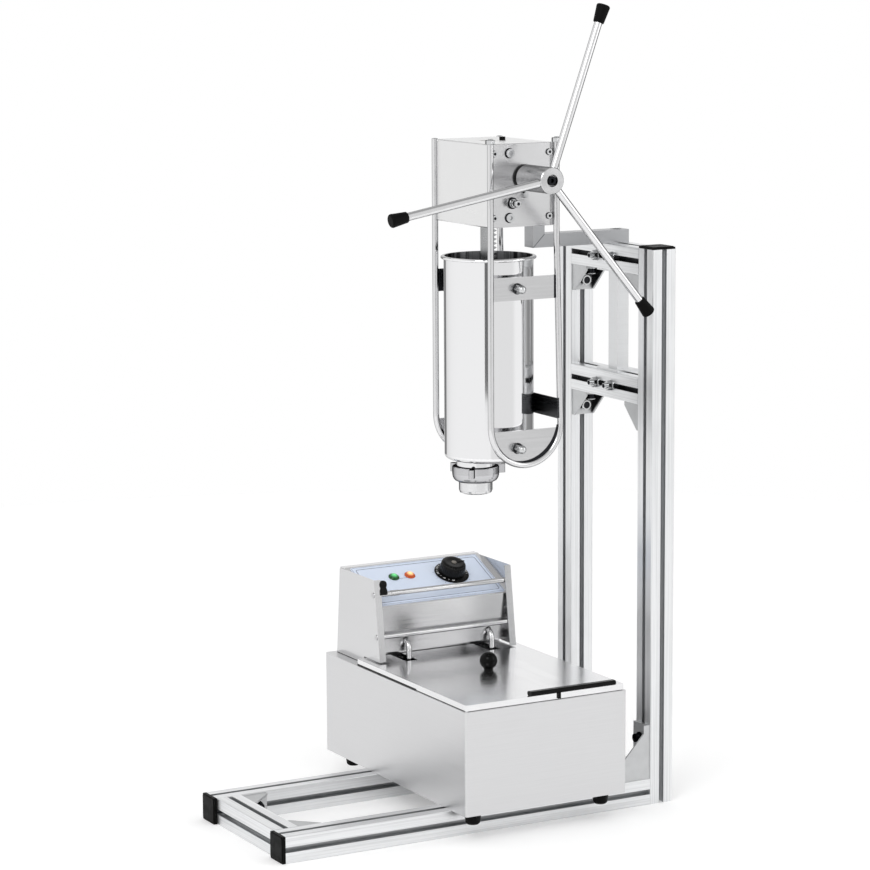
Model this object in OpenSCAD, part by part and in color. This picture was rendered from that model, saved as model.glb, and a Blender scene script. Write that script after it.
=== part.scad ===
// Churro maker: a rack and pinion dough press on a slotted profile stand, with a counter top fryer.
// Millimetres, +Z up. The origin is under the middle of the whole machine, on the table.
// +X runs from the open end of the base towards the posts, and the press stands in the plane y = mid_y.

/* [Stand] */
// Side of the square slotted profile
profile = 40; // [38:1:45]
// Length of the two rails on the table
base_rail_l = 612; // [560:1:700]
// Width over both base rails
stand_w = 270; // [250:1:300]
// Height of the posts
post_h = 840; // [800:1:900]
// Height of the middle cross rail's centre line
mid_rail_z = 626; // [560:1:660]
// Width of the slot's mouth
slot_mouth = 8; // [6:0.5:8.5]
// Depth of the lip behind the slot's mouth
slot_lip = 4.5; // [3.5:0.1:5]
// Width of the cavity behind the lip
slot_cavity = 20; // [18:0.5:21]
// Full depth of the slot
slot_depth = 12.25; // [11.5:0.05:12.8]
// Bore through the profile's core
core_bore = 6.8; // [5:0.1:7.5]
// Thickness of the plastic caps on the rails' free ends
rail_cap_t = 5.7; // [3:0.1:8]
// Thickness of the plastic caps on the posts
post_cap_t = 4; // [3:0.1:8]

/* [Stand fasteners] */
// Leg of a small corner bracket
bracket_leg = 40; // [38:1:44]
// Width of a small corner bracket
bracket_w = 36; // [30:1:36]
// Wall of a bracket's legs
bracket_t = 4; // [3:0.5:6]
// Distance of a bracket's screw from the corner
bracket_screw_at = 25; // [24:0.5:27]
// Height of a large gusset on its post
gusset_rise = 83; // [76:1:95]
// Gap between a large gusset and the fryer
gusset_gap = 4.25; // [3:0.25:12]
// Wall of a gusset's legs
gusset_t = 6; // [4:0.5:8]
// Thickness of a gusset's web
gusset_web = 3; // [2:0.5:5]
// Diameter of the stand's screws
screw_d = 8; // [6:0.5:8]
// Diameter of a screw's socket head
screw_head_d = 13; // [12:0.5:14]
// Height of a screw's socket head
screw_head_h = 8; // [5:0.5:9]
// Diameter of the washers under the heads
washer_d = 16.5; // [15:0.5:18]
// Thickness of the washers
washer_t = 1.6; // [1:0.1:2]

/* [Bracket that carries the press] */
// Distance of the cylinder's axis in front of the posts' centre
press_reach = 221; // [215:1:240]
// Width of the rectangular tube
tube_w = 25; // [20:1:30]
// Depth of the rectangular tube
tube_d = 20; // [18:1:24]
// Wall of the tube
tube_wall = 2; // [1.5:0.1:3]
// Height of the tube's upright leg over the stand
tube_rise = 150; // [140:1:160]
// Half width of the mounting plate and of the strut's feet
plate_half_w = 30; // [28:1:36]
// Thickness of the mounting plate and of the strut's feet
plate_t = 3; // [2:0.5:4]
// Distance of the clamp bolts from the middle plane
clamp_bolt_y = 21; // [20:0.5:22]
// How far a clamp bolt stands out of the rail
clamp_bolt_out = 14; // [12:0.5:18]

/* [Gearbox] */
// Width of the gearbox
box_w = 110; // [104:1:120]
// Depth of the gearbox from front to rear face
box_d = 156; // [150:1:164]
// Height of the gearbox
box_h = 121; // [119:1:126]
// Height of the gearbox's underside over the table
box_z = 879.5; // [876:0.5:890]
// Distance of the gearbox's left wall from the cylinder's axis
box_left = 44; // [42:1:50]
// Sheet of the gearbox's walls
box_sheet = 2.5; // [2:0.1:3]
// Thickness of the front and rear plates
face_plate = 4; // [3:0.5:5]
// Height of the crank shaft over the gearbox's underside
shaft_up = 71; // [68:1:74]
// Diameter of the crank shaft
shaft_d = 16; // [12:0.5:17]
// Outside diameter of the bushings' sleeves
bush_d = 24; // [22:0.5:28]
// Length of the bushings' sleeves
bush_l = 14; // [8:0.5:20]
// Thickness of the front bushing's flange
bush_flange = 5; // [3:0.5:6]
// Height of a guide block
guide_h = 22; // [18:1:26]
// Width of a guide block
guide_w = 42; // [40:1:46]

/* [Rack and pinion] */
// Module of the teeth
gear_module = 2; // [1.8:0.1:2.1]
// Teeth on the pinion
pinion_teeth = 12; // [11:1:13]
// Pressure angle of the teeth
pressure_angle = 25; // [24:0.5:27]
// Play between the rack's teeth and the pinion's
backlash = 0.3; // [0.2:0.05:0.4]
// Width of the rack over its teeth
rack_w = 16; // [14:0.5:17]
// Thickness of the rack
rack_t = 20; // [16:0.5:22]
// Height of the rack's top end under the gearbox's top
rack_top_gap = 5.5; // [3:0.5:9]
// Travel of the rack and the piston
travel = 305; // [290:1:305]
// Face width of the pinion
pinion_face = 26; // [22:1:30]

/* [Crank] */
// Diameter of the hub
hub_d = 38.5; // [34:0.5:44]
// How far the hub stands out of the gearbox
hub_out = 75; // [60:0.1:76]
// Distance of the spokes behind the hub's end face
spoke_back = 7; // [7:0.1:10]
// Diameter of a spoke
spoke_d = 11.5; // [9:0.5:12]
// Radius of the knobs' outer ends
crank_r = 263.5; // [240:0.5:280]
// Angle of the first spoke over the horizontal
spoke_angle = 70.1; // [0:0.1:119]
// Length of a rubber knob
knob_l = 27; // [22:1:36]
// Diameter of a rubber knob at its outer end
knob_d = 20; // [17:0.5:24]

/* [Frame rods] */
// Diameter of the two bent rods
rod_d = 9; // [7:0.5:10]
// Distance between a rod's legs beside the gearbox
rod_span_top = 111; // [111:0.5:114]
// Distance between a rod's legs at the bend
rod_span_low = 118; // [116:0.5:122]
// Height of the centre of the rods' bend
rod_bend_z = 588; // [580:1:596]
// Diameter of the nuts on the rods, across the corners
rod_nut_d = 15; // [13:0.5:16]
// Height of the side plates between the legs
side_plate_h = 34; // [28:1:40]
// Thickness of the side plates
side_plate_t = 3; // [2:0.5:4]
// Height of the upper side plates' centre
upper_plate_z = 790; // [775:1:800]
// Height of the lower bolts
lower_bolt_z = 555; // [552:1:560]
// Diameter of the cap nuts
cap_nut_d = 14.5; // [12:0.5:16]
// Height of the flat band behind the cylinder
band_h = 30; // [24:1:34]

/* [Cylinder] */
// Outside diameter of the cylinder
can_d = 133; // [128:0.5:135]
// Wall of the cylinder
can_wall = 1.5; // [1:0.1:2]
// Diameter of the rolled rim
rim_d = 142; // [138:0.5:144]
// Height of the rim over the table
rim_z = 832; // [826:0.5:834]
// Height of the cylinder's floor over the table
can_z = 529.5; // [529:0.5:532]
// Distance of the outlet from the cylinder's axis
outlet_off = 23; // [15:0.5:28]
// Outside diameter of the outlet's neck
neck_d = 58; // [50:0.5:60]
// Length of the outlet's neck
neck_l = 18; // [15:0.5:22]
// Wall of the neck
neck_wall = 3; // [2:0.5:5]
// Outside diameter of the union nut
union_d = 70; // [66:0.5:76]
// Height of the union nut
union_h = 23; // [21:0.5:26]
// Reach of the union nut's wings
wing_r = 47; // [44:0.5:52]
// Outside diameter of the nozzle
nozzle_d = 50; // [40:0.5:51]
// How far the nozzle stands out of the union nut
nozzle_out = 18; // [12:0.5:30]
// Diameter of the nozzle's mouth
nozzle_bore = 16; // [10:0.5:20]
// Thickness of the piston
piston_t = 14; // [10:0.5:20]
// Gap between the piston and the cylinder's floor at rest
piston_gap = 5.5; // [3:0.5:9]

/* [Fryer] */
// Width of the fryer's body
fryer_w = 273.5; // [262:0.5:285]
// Length of the fryer's body
fryer_l = 445; // [430:1:470]
// Height of the fryer's body
fryer_h = 155.5; // [145:0.5:165]
// Distance of the fryer's centre behind the press
fryer_back = 44; // [40:0.5:50]
// Distance of the fryer's centre left of the cylinder's axis
fryer_left = 6; // [0:0.5:12]
// Sheet of the fryer's parts
sheet = 1.2; // [0.8:0.1:1.5]
// Width of the oil tank
tank_w = 240; // [225:1:245]
// Length of the oil tank
tank_l = 300; // [280:1:304]
// Depth of the oil tank
tank_h = 120; // [100:1:135]
// Length of the lid
lid_l = 340; // [330:1:342]
// Height of the lid
lid_h = 9.5; // [8:0.5:10]
// Diameter of the lid's ball knob
ball_d = 27; // [22:0.5:32]
// Width of the control head over its cheeks
head_w = 240; // [225:1:246]
// Height of the control head over the fryer's body
head_h = 136; // [130:1:145]
// Height of the fryer's rubber feet
foot_h = 15; // [10:1:20]
// Diameter of the fryer's rubber feet
foot_d = 25; // [20:1:28]
// Diameter of the heating element's tube
element_d = 8.5; // [7:0.5:10]
// Diameter of the control head's chrome rods
head_rod_d = 8; // [6:0.5:9]
// Diameter of the thermostat knob
dial_d = 42; // [36:1:48]

/* [Hidden] */
$fn = 48;

// Clearances
slide_fit = 0.2;    // each side of a flat slide
run_fit = 0.05;     // radial, shaft in bush
seat_fit = 0.03;    // radial, parts that are pressed or screwed together
bolt_fit = 0.2;     // radial, bolt in its hole
air = 0.3;          // between curved faces that only lie near each other

// Stand, in plan
x_span = rail_cap_t + base_rail_l + profile + plate_t + washer_t + screw_head_h;
left_x = -x_span / 2 + rail_cap_t;
post_x = left_x + base_rail_l + profile / 2;
mid_y = -fryer_back;
inner_w = stand_w - 2 * profile;
front_y = mid_y - stand_w / 2 + profile / 2;
rear_y = mid_y + stand_w / 2 - profile / 2;
front_in_y = mid_y - inner_w / 2;
rear_in_y = mid_y + inner_w / 2;
half = profile / 2;
top_rail_z = post_h - half;
post_left_x = post_x - half;
post_right_x = post_x + half;
bolt_hole_d = screw_d + 2 * bolt_fit;

// Press
can_x = post_x - press_reach;
can_r = can_d / 2;
can_inner_r = can_r - can_wall;
box_x0 = can_x - box_left;
box_x1 = box_x0 + box_w;
box_y0 = mid_y - box_d / 2;
box_y1 = mid_y + box_d / 2;
box_top = box_z + box_h;
shaft_z = box_z + shaft_up;
pitch_r = gear_module * pinion_teeth / 2;
tooth_pitch = PI * gear_module;
base_r = pitch_r * cos(pressure_angle);
tip_r = pitch_r + gear_module;
root_r = pitch_r - 1.25 * gear_module;
rack_x0 = can_x - rack_w / 2;
rack_x1 = can_x + rack_w / 2;
pitch_x = rack_x1 - gear_module;
shaft_x = pitch_x + pitch_r;
rack_top = box_top - rack_top_gap;
piston_z = can_z + can_wall + piston_gap;
piston_top = piston_z + piston_t;
hub_y = box_y0 - hub_out;
guide_x0 = can_x - 26;
mount_x = box_x1 + plate_t;
tube_x1 = mount_x + tube_d;
mount_screw_y = tube_w / 2 + (plate_half_w - tube_w / 2) / 2;
mount_screw_z = [box_z + 32, box_z + 92];
corner_in_x = 9;
corner_in_z = 14;
tie_bar = 12;
guide_bolt_x = can_x - 9.5;

// Frame rods
rod_y = [box_y0 - rod_d / 2 - 0.1, box_y1 + rod_d / 2 + 0.1];
rod_left_x = box_x0;
rod_right_x = rod_left_x + rod_span_top;
rod_shoulder_z = box_z - 0.2;
stud_d = rod_d - 1;
bend_r = rod_span_low / 2;
bend_x = rod_left_x + bend_r;
ear_t = 3;
rod_top = box_top + 11;

// Outlet
outlet_x = can_x - outlet_off;
neck_z = can_z - neck_l;
union_z = can_z - neck_l - 15;
gasket_t = 2;
nozzle_flange_t = 4;

// Fryer
fryer_x = can_x - fryer_left;
gusset_foot = post_left_x - fryer_x - fryer_w / 2 - gusset_gap;
fryer_top = profile + fryer_h;
fryer_front = -fryer_l / 2;
tank_y = fryer_front + 20 + tank_l / 2;
tank_rim = 8;
lid_y0 = fryer_front + 3;
lid_y1 = lid_y0 + lid_l;
lid_w = fryer_w - 5.5;
lid_top = fryer_top + lid_h;
head_rear = fryer_l / 2 - 8;
cheek_step_y = lid_y1 + 3;
cheek_front_y = cheek_step_y - 52;
cheek_gap_z = lid_top + 2;
head_top = fryer_top + head_h;
slope_y0 = cheek_front_y + 16;
slope_z0 = fryer_top + 93;
slope_y1 = head_rear - 26;
slope_z1 = head_top + 2;
slope_angle = atan2(slope_z1 - slope_z0, slope_y1 - slope_y0);
slope_l = (slope_z1 - slope_z0) / sin(slope_angle);
wall_y = slope_y0 + 2;
wall_z0 = lid_top + 12;
panel_t = 1;
element_x = [fryer_x - 66, fryer_x + 80];
element_y = cheek_front_y + 7;
element_span = (element_x[1] - element_x[0]) / 2;
element_front = tank_y - tank_l / 2 + 22 + element_span;
element_low_z = profile + 50;
rod_low = [cheek_front_y + 11, fryer_top + 48.5];
rod_high = [cheek_front_y + 20, fryer_top + 112.5];
dial_up = 0.5788;       // share of the slope's length
lamp_up = 0.6783;
dial_at = [46.5, dial_up * slope_l];
lamp_at = [[-51.5, lamp_up * slope_l], [-23, lamp_up * slope_l]];

// ---------------------------------------------------------------- shared shapes

// A cylinder that runs along +X from its start
module bar_x(d, l) { rotate([0, 90, 0]) cylinder(d = d, h = l); }

// A cylinder that runs along +Y from its start
module bar_y(d, l) { rotate([-90, 0, 0]) cylinder(d = d, h = l); }

// A rectangle with round corners about its centre
module round_rect(w, d, r) {
    square([w - 2 * r, d], center = true);
    square([w, d - 2 * r], center = true);
    for (x = [-1, 1], y = [-1, 1])
        translate([x * (w / 2 - r), y * (d / 2 - r)]) circle(r = r);
}

// An outline drawn in x and z, carried along Y about the plane y = 0
module along_y(l) { rotate([90, 0, 0]) linear_extrude(l, center = true) children(); }

// An outline drawn in y and z, carried along X about the plane x = 0
module along_x(l) { rotate([90, 0, 90]) linear_extrude(l, center = true) children(); }

// Turns children's x and y axes to u and v, and their origin to a point
module facing(at, u, v) {
    w = cross(u, v);
    multmatrix([[u.x, v.x, w.x, at.x], [u.y, v.y, w.y, at.y], [u.z, v.z, w.z, at.z], [0, 0, 0, 1]])
        children();
}

// A hexagonal nut on the z axis, with its hole
module hex_nut(d, h, hole) {
    difference() {
        cylinder(d = d, h = h, $fn = 6);
        translate([0, 0, -1]) cylinder(d = hole, h = h + 2);
    }
}

// A plain washer on the z axis
module washer(d, h, hole) {
    difference() {
        cylinder(d = d, h = h);
        translate([0, 0, -1]) cylinder(d = hole, h = h + 2);
    }
}

// A socket head screw whose head stands on z = 0 and whose shank points down
module socket_screw(d, l, head_d, head_h) {
    difference() {
        union() {
            cylinder(d = head_d, h = head_h);
            translate([0, 0, -l]) cylinder(d = d, h = l + 1);
        }
        translate([0, 0, head_h - head_h * 0.55]) cylinder(d = head_d * 0.53, h = head_h, $fn = 6);
    }
}

// ---------------------------------------------------------------- slotted profile

// One T slot, open at the +y side of the profile
module slot_outline() {
    m = slot_mouth / 2;
    c = slot_cavity / 2;
    inner = half - slot_lip;
    step = inner - 2.3;
    floor_y = half - slot_depth;
    polygon([
        [-m, half + 1], [-m, inner], [-c, inner], [-c, step], [-c + (step - floor_y), floor_y],
        [c - (step - floor_y), floor_y], [c, step], [c, inner], [m, inner], [m, half + 1]
    ]);
}

// The profile's section, with four slots, the core bore and a hollow in each corner
module profile_section() {
    hollow = 5;
    at = half - 2 - hollow / 2;
    difference() {
        round_rect(profile, profile, 1.5);
        for (a = [0, 90, 180, 270]) rotate(a) {
            slot_outline();
            translate([at, at]) square(hollow, center = true);
        }
        circle(d = core_bore);
    }
}

module rail_x(l) { rotate([90, 0, 90]) linear_extrude(l) profile_section(); }
module rail_y(l) { rotate([-90, 0, 0]) linear_extrude(l) profile_section(); }

// A cross rail between the posts or the base rails, centred on its line
module cross_rail(x, z) { translate([x, front_in_y, z]) rail_y(inner_w); }

// Holes for the two clamp bolts through a cross rail
module clamp_holes(z) {
    for (s = [-1, 1])
        translate([post_left_x - 1, mid_y + s * clamp_bolt_y, z]) bar_x(bolt_hole_d, profile + 2);
}

module base_rail_front() { color("gainsboro") translate([left_x, front_y, half]) rail_x(base_rail_l); }
module base_rail_rear() { color("gainsboro") translate([left_x, rear_y, half]) rail_x(base_rail_l); }

module base_cross_rails() {
    color("gainsboro") {
        cross_rail(left_x + half, half);
        cross_rail(post_x, half);
    }
}

module post_front() { color("gainsboro") translate([post_x, front_y, 0]) linear_extrude(post_h) profile_section(); }
module post_rear() { color("gainsboro") translate([post_x, rear_y, 0]) linear_extrude(post_h) profile_section(); }

module cross_rail_top() {
    color("gainsboro") difference() {
        cross_rail(post_x, top_rail_z);
        clamp_holes(top_rail_z);
    }
}

module cross_rail_mid() {
    color("gainsboro") difference() {
        cross_rail(post_x, mid_rail_z);
        clamp_holes(mid_rail_z);
    }
}

// A cap on a profile's end: a rounded plate, a raised middle and a plug in the core bore
module end_cap(t) {
    crown = 1;
    linear_extrude(t - crown) round_rect(profile, profile, 2);
    translate([0, 0, t - crown]) linear_extrude(crown) round_rect(profile - 3, profile - 3, 3);
    translate([0, 0, -12]) cylinder(d = core_bore - 2 * seat_fit, h = 13);
}

module rail_end_caps() {
    color([0.1, 0.1, 0.11]) for (y = [front_y, rear_y])
        translate([left_x, y, half]) rotate([0, -90, 0]) end_cap(rail_cap_t);
}

module post_end_caps() {
    color([0.1, 0.1, 0.11]) for (y = [front_y, rear_y])
        translate([post_x, y, post_h]) end_cap(post_cap_t);
}

// ---------------------------------------------------------------- brackets on the profile

// Each small bracket: its corner, and the directions of its two legs
bracket_places = [
    for (z = [top_rail_z, mid_rail_z], s = [-1, 1])
        [[post_x, mid_y + s * inner_w / 2, z - half], [0, -s, 0], [0, 0, -1]],
    for (s = [-1, 1])
        [[post_x, mid_y + s * inner_w / 2, profile], [0, -s, 0], [0, 0, 1]],
    for (s = [-1, 1])
        [[left_x + profile, mid_y + s * inner_w / 2, half], [1, 0, 0], [0, -s, 0]]
];

// Each large gusset: its corner, and the side of its web
gusset_places = [for (s = [-1, 1]) [[post_left_x, mid_y + s * (stand_w / 2 - half), profile], s]];
gusset_foot_screw = gusset_foot - 22;
gusset_rise_screws = [26, gusset_rise - 22];

// A corner bracket with its legs along +x and +y
module corner_bracket() {
    difference() {
        union() {
            translate([0, 0, -bracket_w / 2]) cube([bracket_leg, bracket_t, bracket_w]);
            translate([0, 0, -bracket_w / 2]) cube([bracket_t, bracket_leg, bracket_w]);
            for (z = [-bracket_w / 2, bracket_w / 2 - 3])
                translate([0, 0, z]) linear_extrude(3)
                    polygon([[0, 0], [bracket_leg, 0], [bracket_leg, bracket_t + 2],
                             [bracket_t + 2, bracket_leg], [0, bracket_leg]]);
        }
        translate([bracket_screw_at, -1, 0]) bar_y(bolt_hole_d, bracket_t + 2);
        translate([-1, bracket_screw_at, 0]) bar_x(bolt_hole_d, bracket_t + 2);
    }
}

// A large gusset with its legs along +x and +y and its web on the side s of z
module post_gusset(s) {
    w = profile - 4;
    lip = 10.4;
    shoulder = 13;
    difference() {
        union() {
            translate([0, 0, -w / 2]) cube([gusset_foot, gusset_t, w]);
            translate([0, 0, -w / 2]) cube([gusset_t, gusset_rise, w]);
            translate([0, 0, s * (w / 2 - gusset_web / 2)]) linear_extrude(gusset_web, center = true)
                polygon([[0, 0], [gusset_foot, 0], [gusset_foot, lip], [lip, gusset_rise - shoulder],
                         [lip, gusset_rise], [0, gusset_rise]]);
        }
        translate([gusset_foot_screw, -1, 0]) bar_y(bolt_hole_d, gusset_t + 2);
        for (a = gusset_rise_screws) translate([-1, a, 0]) bar_x(bolt_hole_d, gusset_t + 2);
    }
}

// The nut that slides in a slot along x, below the profile's face at z = 0
module slot_nut() {
    c = slot_cavity / 2 - 0.6;
    m = slot_mouth / 2 - 0.2;
    top = -slot_lip - 0.1;
    difference() {
        rotate([90, 0, 90]) linear_extrude(screw_d + 6, center = true) polygon([
            [-m, -1], [-m, top], [-c, top], [-c, top - 2], [-c + 3.6, top - 5.6],
            [c - 3.6, top - 5.6], [c, top - 2], [c, top], [m, top], [m, -1]
        ]);
        translate([0, 0, -slot_depth]) cylinder(d = screw_d + 2 * seat_fit, h = slot_depth + 1);
    }
}

// A screw, washer and slot nut that hold a wall t thick on the profile's face at z = 0
module slot_fastener(t) {
    translate([0, 0, t]) washer(washer_d, washer_t, bolt_hole_d);
    translate([0, 0, t + washer_t])
        socket_screw(screw_d, t + washer_t + slot_depth - 0.8, screw_head_d, screw_head_h);
    slot_nut();
}

module corner_brackets() {
    color("silver") for (p = bracket_places) facing(p[0], p[1], p[2]) corner_bracket();
}

module post_gussets() {
    color("silver") for (p = gusset_places) facing(p[0], [-1, 0, 0], [0, 0, 1]) post_gusset(p[1]);
}

module bracket_fasteners() {
    color([0.15, 0.15, 0.16]) {
        for (p = bracket_places) {
            facing(p[0] + bracket_screw_at * p[1], p[1], cross(p[2], p[1])) slot_fastener(bracket_t);
            facing(p[0] + bracket_screw_at * p[2], p[2], cross(p[1], p[2])) slot_fastener(bracket_t);
        }
        for (p = gusset_places) {
            facing(p[0] + [-gusset_foot_screw, 0, 0], [1, 0, 0], [0, 1, 0]) slot_fastener(gusset_t);
            for (a = gusset_rise_screws)
                facing(p[0] + [0, 0, a], [0, 0, 1], [0, 1, 0]) slot_fastener(gusset_t);
        }
        translate([post_x, mid_y, post_h]) rotate(90) slot_fastener(tube_wall);
    }
}

// ---------------------------------------------------------------- bracket that carries the press

module tube_bracket() {
    x0 = mount_x;
    x1 = tube_x1;
    end_x = post_x + 16;
    z0 = post_h;
    z1 = post_h + tube_d;
    top = post_h + tube_rise;
    w = tube_wall;
    color("darkgray") difference() {
        union() {
            difference() {
                translate([0, mid_y, 0]) along_y(tube_w)
                    polygon([[x0, z0], [end_x, z0], [end_x, z1], [x1, z1], [x1, top], [x0, top]]);
                translate([0, mid_y, 0]) along_y(tube_w - 2 * w)
                    polygon([[x0 + w, z0 + w], [end_x + 1, z0 + w], [end_x + 1, z1 - w],
                             [x1 - w, z1 - w], [x1 - w, top + 1], [x0 + w, top + 1]]);
            }
            translate([box_x1, mid_y - plate_half_w, box_z + 6])
                cube([plate_t, 2 * plate_half_w, box_h - 12]);
            translate([box_x1 + plate_t / 2, mid_y - tube_w / 4, box_z + 10])
                cube([(plate_t + w) / 2, tube_w / 2, tube_d / 2]);
        }
        for (s = [-1, 1], z = mount_screw_z)
            translate([box_x1 - 1, mid_y + s * mount_screw_y, z]) bar_x(6 + 2 * bolt_fit, plate_t + 2);
        translate([post_x, mid_y, z0 - 1]) cylinder(d = bolt_hole_d, h = 4);
        translate([post_x, mid_y, z1 - w - 1]) cylinder(d = washer_d + 1, h = w + 2);
    }
}

// A foot of the strut: it lies on a rail's face z = face and hooks down the rail's back by s * its drop
module strut_foot(face, s) {
    drop = half + 15;
    x0 = post_x - 14;
    difference() {
        union() {
            translate([x0, mid_y - plate_half_w, s > 0 ? face : face - plate_t])
                cube([post_right_x + plate_t - x0, 2 * plate_half_w, plate_t]);
            translate([post_right_x, mid_y - plate_half_w, s > 0 ? face - drop : face - plate_t])
                cube([plate_t, 2 * plate_half_w, drop + plate_t]);
        }
        for (side = [-1, 1])
            translate([post_right_x - 1, mid_y + side * clamp_bolt_y, face - s * half])
                bar_x(bolt_hole_d, plate_t + 2);
    }
}

module strut() {
    z0 = mid_rail_z + half + plate_t;
    z1 = top_rail_z - half - plate_t;
    x = post_x + 6;
    color("lightgray") {
        translate([x, mid_y, z0]) difference() {
            linear_extrude(z1 - z0) square([tube_d, tube_w], center = true);
            translate([0, 0, -1]) linear_extrude(z1 - z0 + 2)
                square([tube_d - 2 * tube_wall, tube_w - 2 * tube_wall], center = true);
        }
        strut_foot(mid_rail_z + half, 1);
        strut_foot(top_rail_z - half, -1);
    }
}

module clamp_bolts() {
    nut_h = 6.5;
    color([0.75, 0.75, 0.77]) for (z = [top_rail_z, mid_rail_z], s = [-1, 1])
        translate([0, mid_y + s * clamp_bolt_y, z]) {
            translate([post_left_x, 0, 0]) rotate([0, -90, 0]) washer(washer_d, washer_t, bolt_hole_d);
            translate([post_left_x - washer_t, 0, 0]) rotate([0, -90, 0])
                hex_nut(rod_nut_d, nut_h, screw_d + 2 * seat_fit);
            translate([post_right_x + plate_t, 0, 0]) rotate([0, 90, 0]) {
                washer(washer_d, washer_t, bolt_hole_d);
                translate([0, 0, washer_t])
                    socket_screw(screw_d, washer_t + plate_t + profile + clamp_bolt_out,
                                 screw_head_d, screw_head_h);
            }
        }
}

// ---------------------------------------------------------------- gearbox

// The corner screws' places on a face plate
module at_plate_corners() {
    for (x = [box_x0 + corner_in_x, box_x1 - corner_in_x], z = [box_z + corner_in_z, box_top - corner_in_z])
        translate([x, 0, z]) children();
}

// The guide blocks' lower edges
guide_z = [box_z + box_sheet + 0.2, box_top - box_sheet - 0.2 - guide_h];

// The window that the rack passes through, wider than the rack by g on each side
module rack_window(g, z, h) {
    translate([rack_x0 - g, mid_y - rack_t / 2 - g, z]) cube([rack_w + 2 * g, rack_t + 2 * g, h]);
}

module gearbox_shell() {
    l = box_d - 2 * face_plate;
    cx = (box_x0 + box_x1) / 2;
    cz = box_z + box_h / 2;
    color("lightgray") translate([0, mid_y, 0]) difference() {
        union() {
            difference() {
                translate([cx, 0, cz]) along_y(l) round_rect(box_w, box_h, 3);
                translate([cx, 0, cz]) along_y(l + 2)
                    square([box_w - 2 * box_sheet, box_h - 2 * box_sheet], center = true);
            }
            at_plate_corners() along_y(l) square(tie_bar + 2 * (corner_in_x - box_sheet - tie_bar / 2), center = true);
        }
        at_plate_corners() along_y(l + 2) circle(d = 5 + 2 * seat_fit);
        translate([0, -mid_y, 0]) {
            rack_window(2.5, box_z - 1, box_sheet + 2);
            rack_window(2.5, box_top - box_sheet - 1, box_sheet + 2);
            translate([shaft_x + 6, mid_y, box_top - box_sheet - 1]) cylinder(d = 6, h = box_sheet + 2);
            for (s = [-1, 1], z = mount_screw_z)
                translate([box_x1 - box_sheet - 1, mid_y + s * mount_screw_y, z])
                    bar_x(6 + 2 * bolt_fit, box_sheet + 2);
        }
    }
}

// A face plate between y and y + face_plate, with ears for a bent rod on the side s
module face_plate_body(y, s) {
    ear_y = s < 0 ? rod_y[0] - rod_d / 2 - 2 : y + face_plate - 0.5;
    ear_d = rod_d + 2.6;
    difference() {
        union() {
            translate([(box_x0 + box_x1) / 2, y + face_plate / 2, box_z + box_h / 2])
                along_y(face_plate) round_rect(box_w, box_h, 3);
            for (x = [rod_left_x, rod_right_x], z = [box_z, box_top - ear_t]) {
                ear_x0 = min(x - rod_d / 2 - 2.5, box_x1 - 6);
                translate([ear_x0, ear_y, z]) cube([x + rod_d / 2 + 2.5 - ear_x0, ear_d, ear_t]);
            }
        }
        for (x = [rod_left_x, rod_right_x])
            translate([x, rod_y[s < 0 ? 0 : 1], box_z - 1]) cylinder(d = stud_d + 2 * seat_fit, h = box_h + 2);
        translate([shaft_x, y - 1, shaft_z]) bar_y(bush_d + 2 * seat_fit, face_plate + 2);
        for (z = guide_z)
            translate([guide_bolt_x, y - 1, z + guide_h / 2]) bar_y(6 + 2 * bolt_fit, face_plate + 2);
        at_plate_corners() translate([0, y - 1, 0]) bar_y(5 + 2 * bolt_fit, face_plate + 2);
        if (s < 0) {
            translate([plunger_x, y - 1, plunger_z]) bar_y(10 + 2 * seat_fit, face_plate + 2);
            translate([shaft_x - 1.5, y - 1, shaft_z - stop_drop]) bar_y(7 + 2 * seat_fit, face_plate + 2);
        }
    }
}

plunger_x = can_x - 5.4;
plunger_z = box_z + 35;
stop_drop = hub_d / 2 + 5.5;

module gearbox_front_plate() { color("silver") face_plate_body(box_y0, -1); }
module gearbox_rear_plate() { color("silver") face_plate_body(box_y1 - face_plate, 1); }

// Screws in both face plates, and the screws that hold the gearbox on its bracket
module gearbox_fasteners() {
    color([0.72, 0.72, 0.74]) {
        for (s = [-1, 1]) translate([0, s < 0 ? box_y0 : box_y1, 0]) {
            at_plate_corners() rotate([s < 0 ? 90 : -90, 0, 0]) socket_screw(5, 18, 9, 3);
            for (z = guide_z)
                translate([guide_bolt_x, 0, z + guide_h / 2]) rotate([s < 0 ? 90 : -90, 0, 0])
                    socket_screw(6, 22, 13, 4);
        }
        for (s = [-1, 1], z = mount_screw_z) translate([mount_x, mid_y + s * mount_screw_y, z]) {
            rotate([0, 90, 0]) socket_screw(6, 14, 10, 5);
            translate([-plate_t - box_sheet - 5, 0, 0]) rotate([0, 90, 0]) hex_nut(11, 5, 6 + 2 * seat_fit);
        }
    }
}

// A nylon block between the face plates, with the window that guides the rack
module guide_block(z) {
    l = box_d - 2 * face_plate;
    difference() {
        translate([guide_x0, mid_y - l / 2, z]) cube([guide_w, l, guide_h]);
        rack_window(slide_fit, z - 1, guide_h + 2);
        for (s = [-1, 1])
            translate([guide_bolt_x, mid_y + s * (l / 2 - 10), z + guide_h / 2])
                rotate([90, 0, 0]) cylinder(d = 6 + 2 * seat_fit, h = 24, center = true);
    }
}

module guide_block_upper() { color("ivory") guide_block(guide_z[1]); }
module guide_block_lower() { color("ivory") guide_block(guide_z[0]); }

// ---------------------------------------------------------------- rack and pinion

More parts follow.
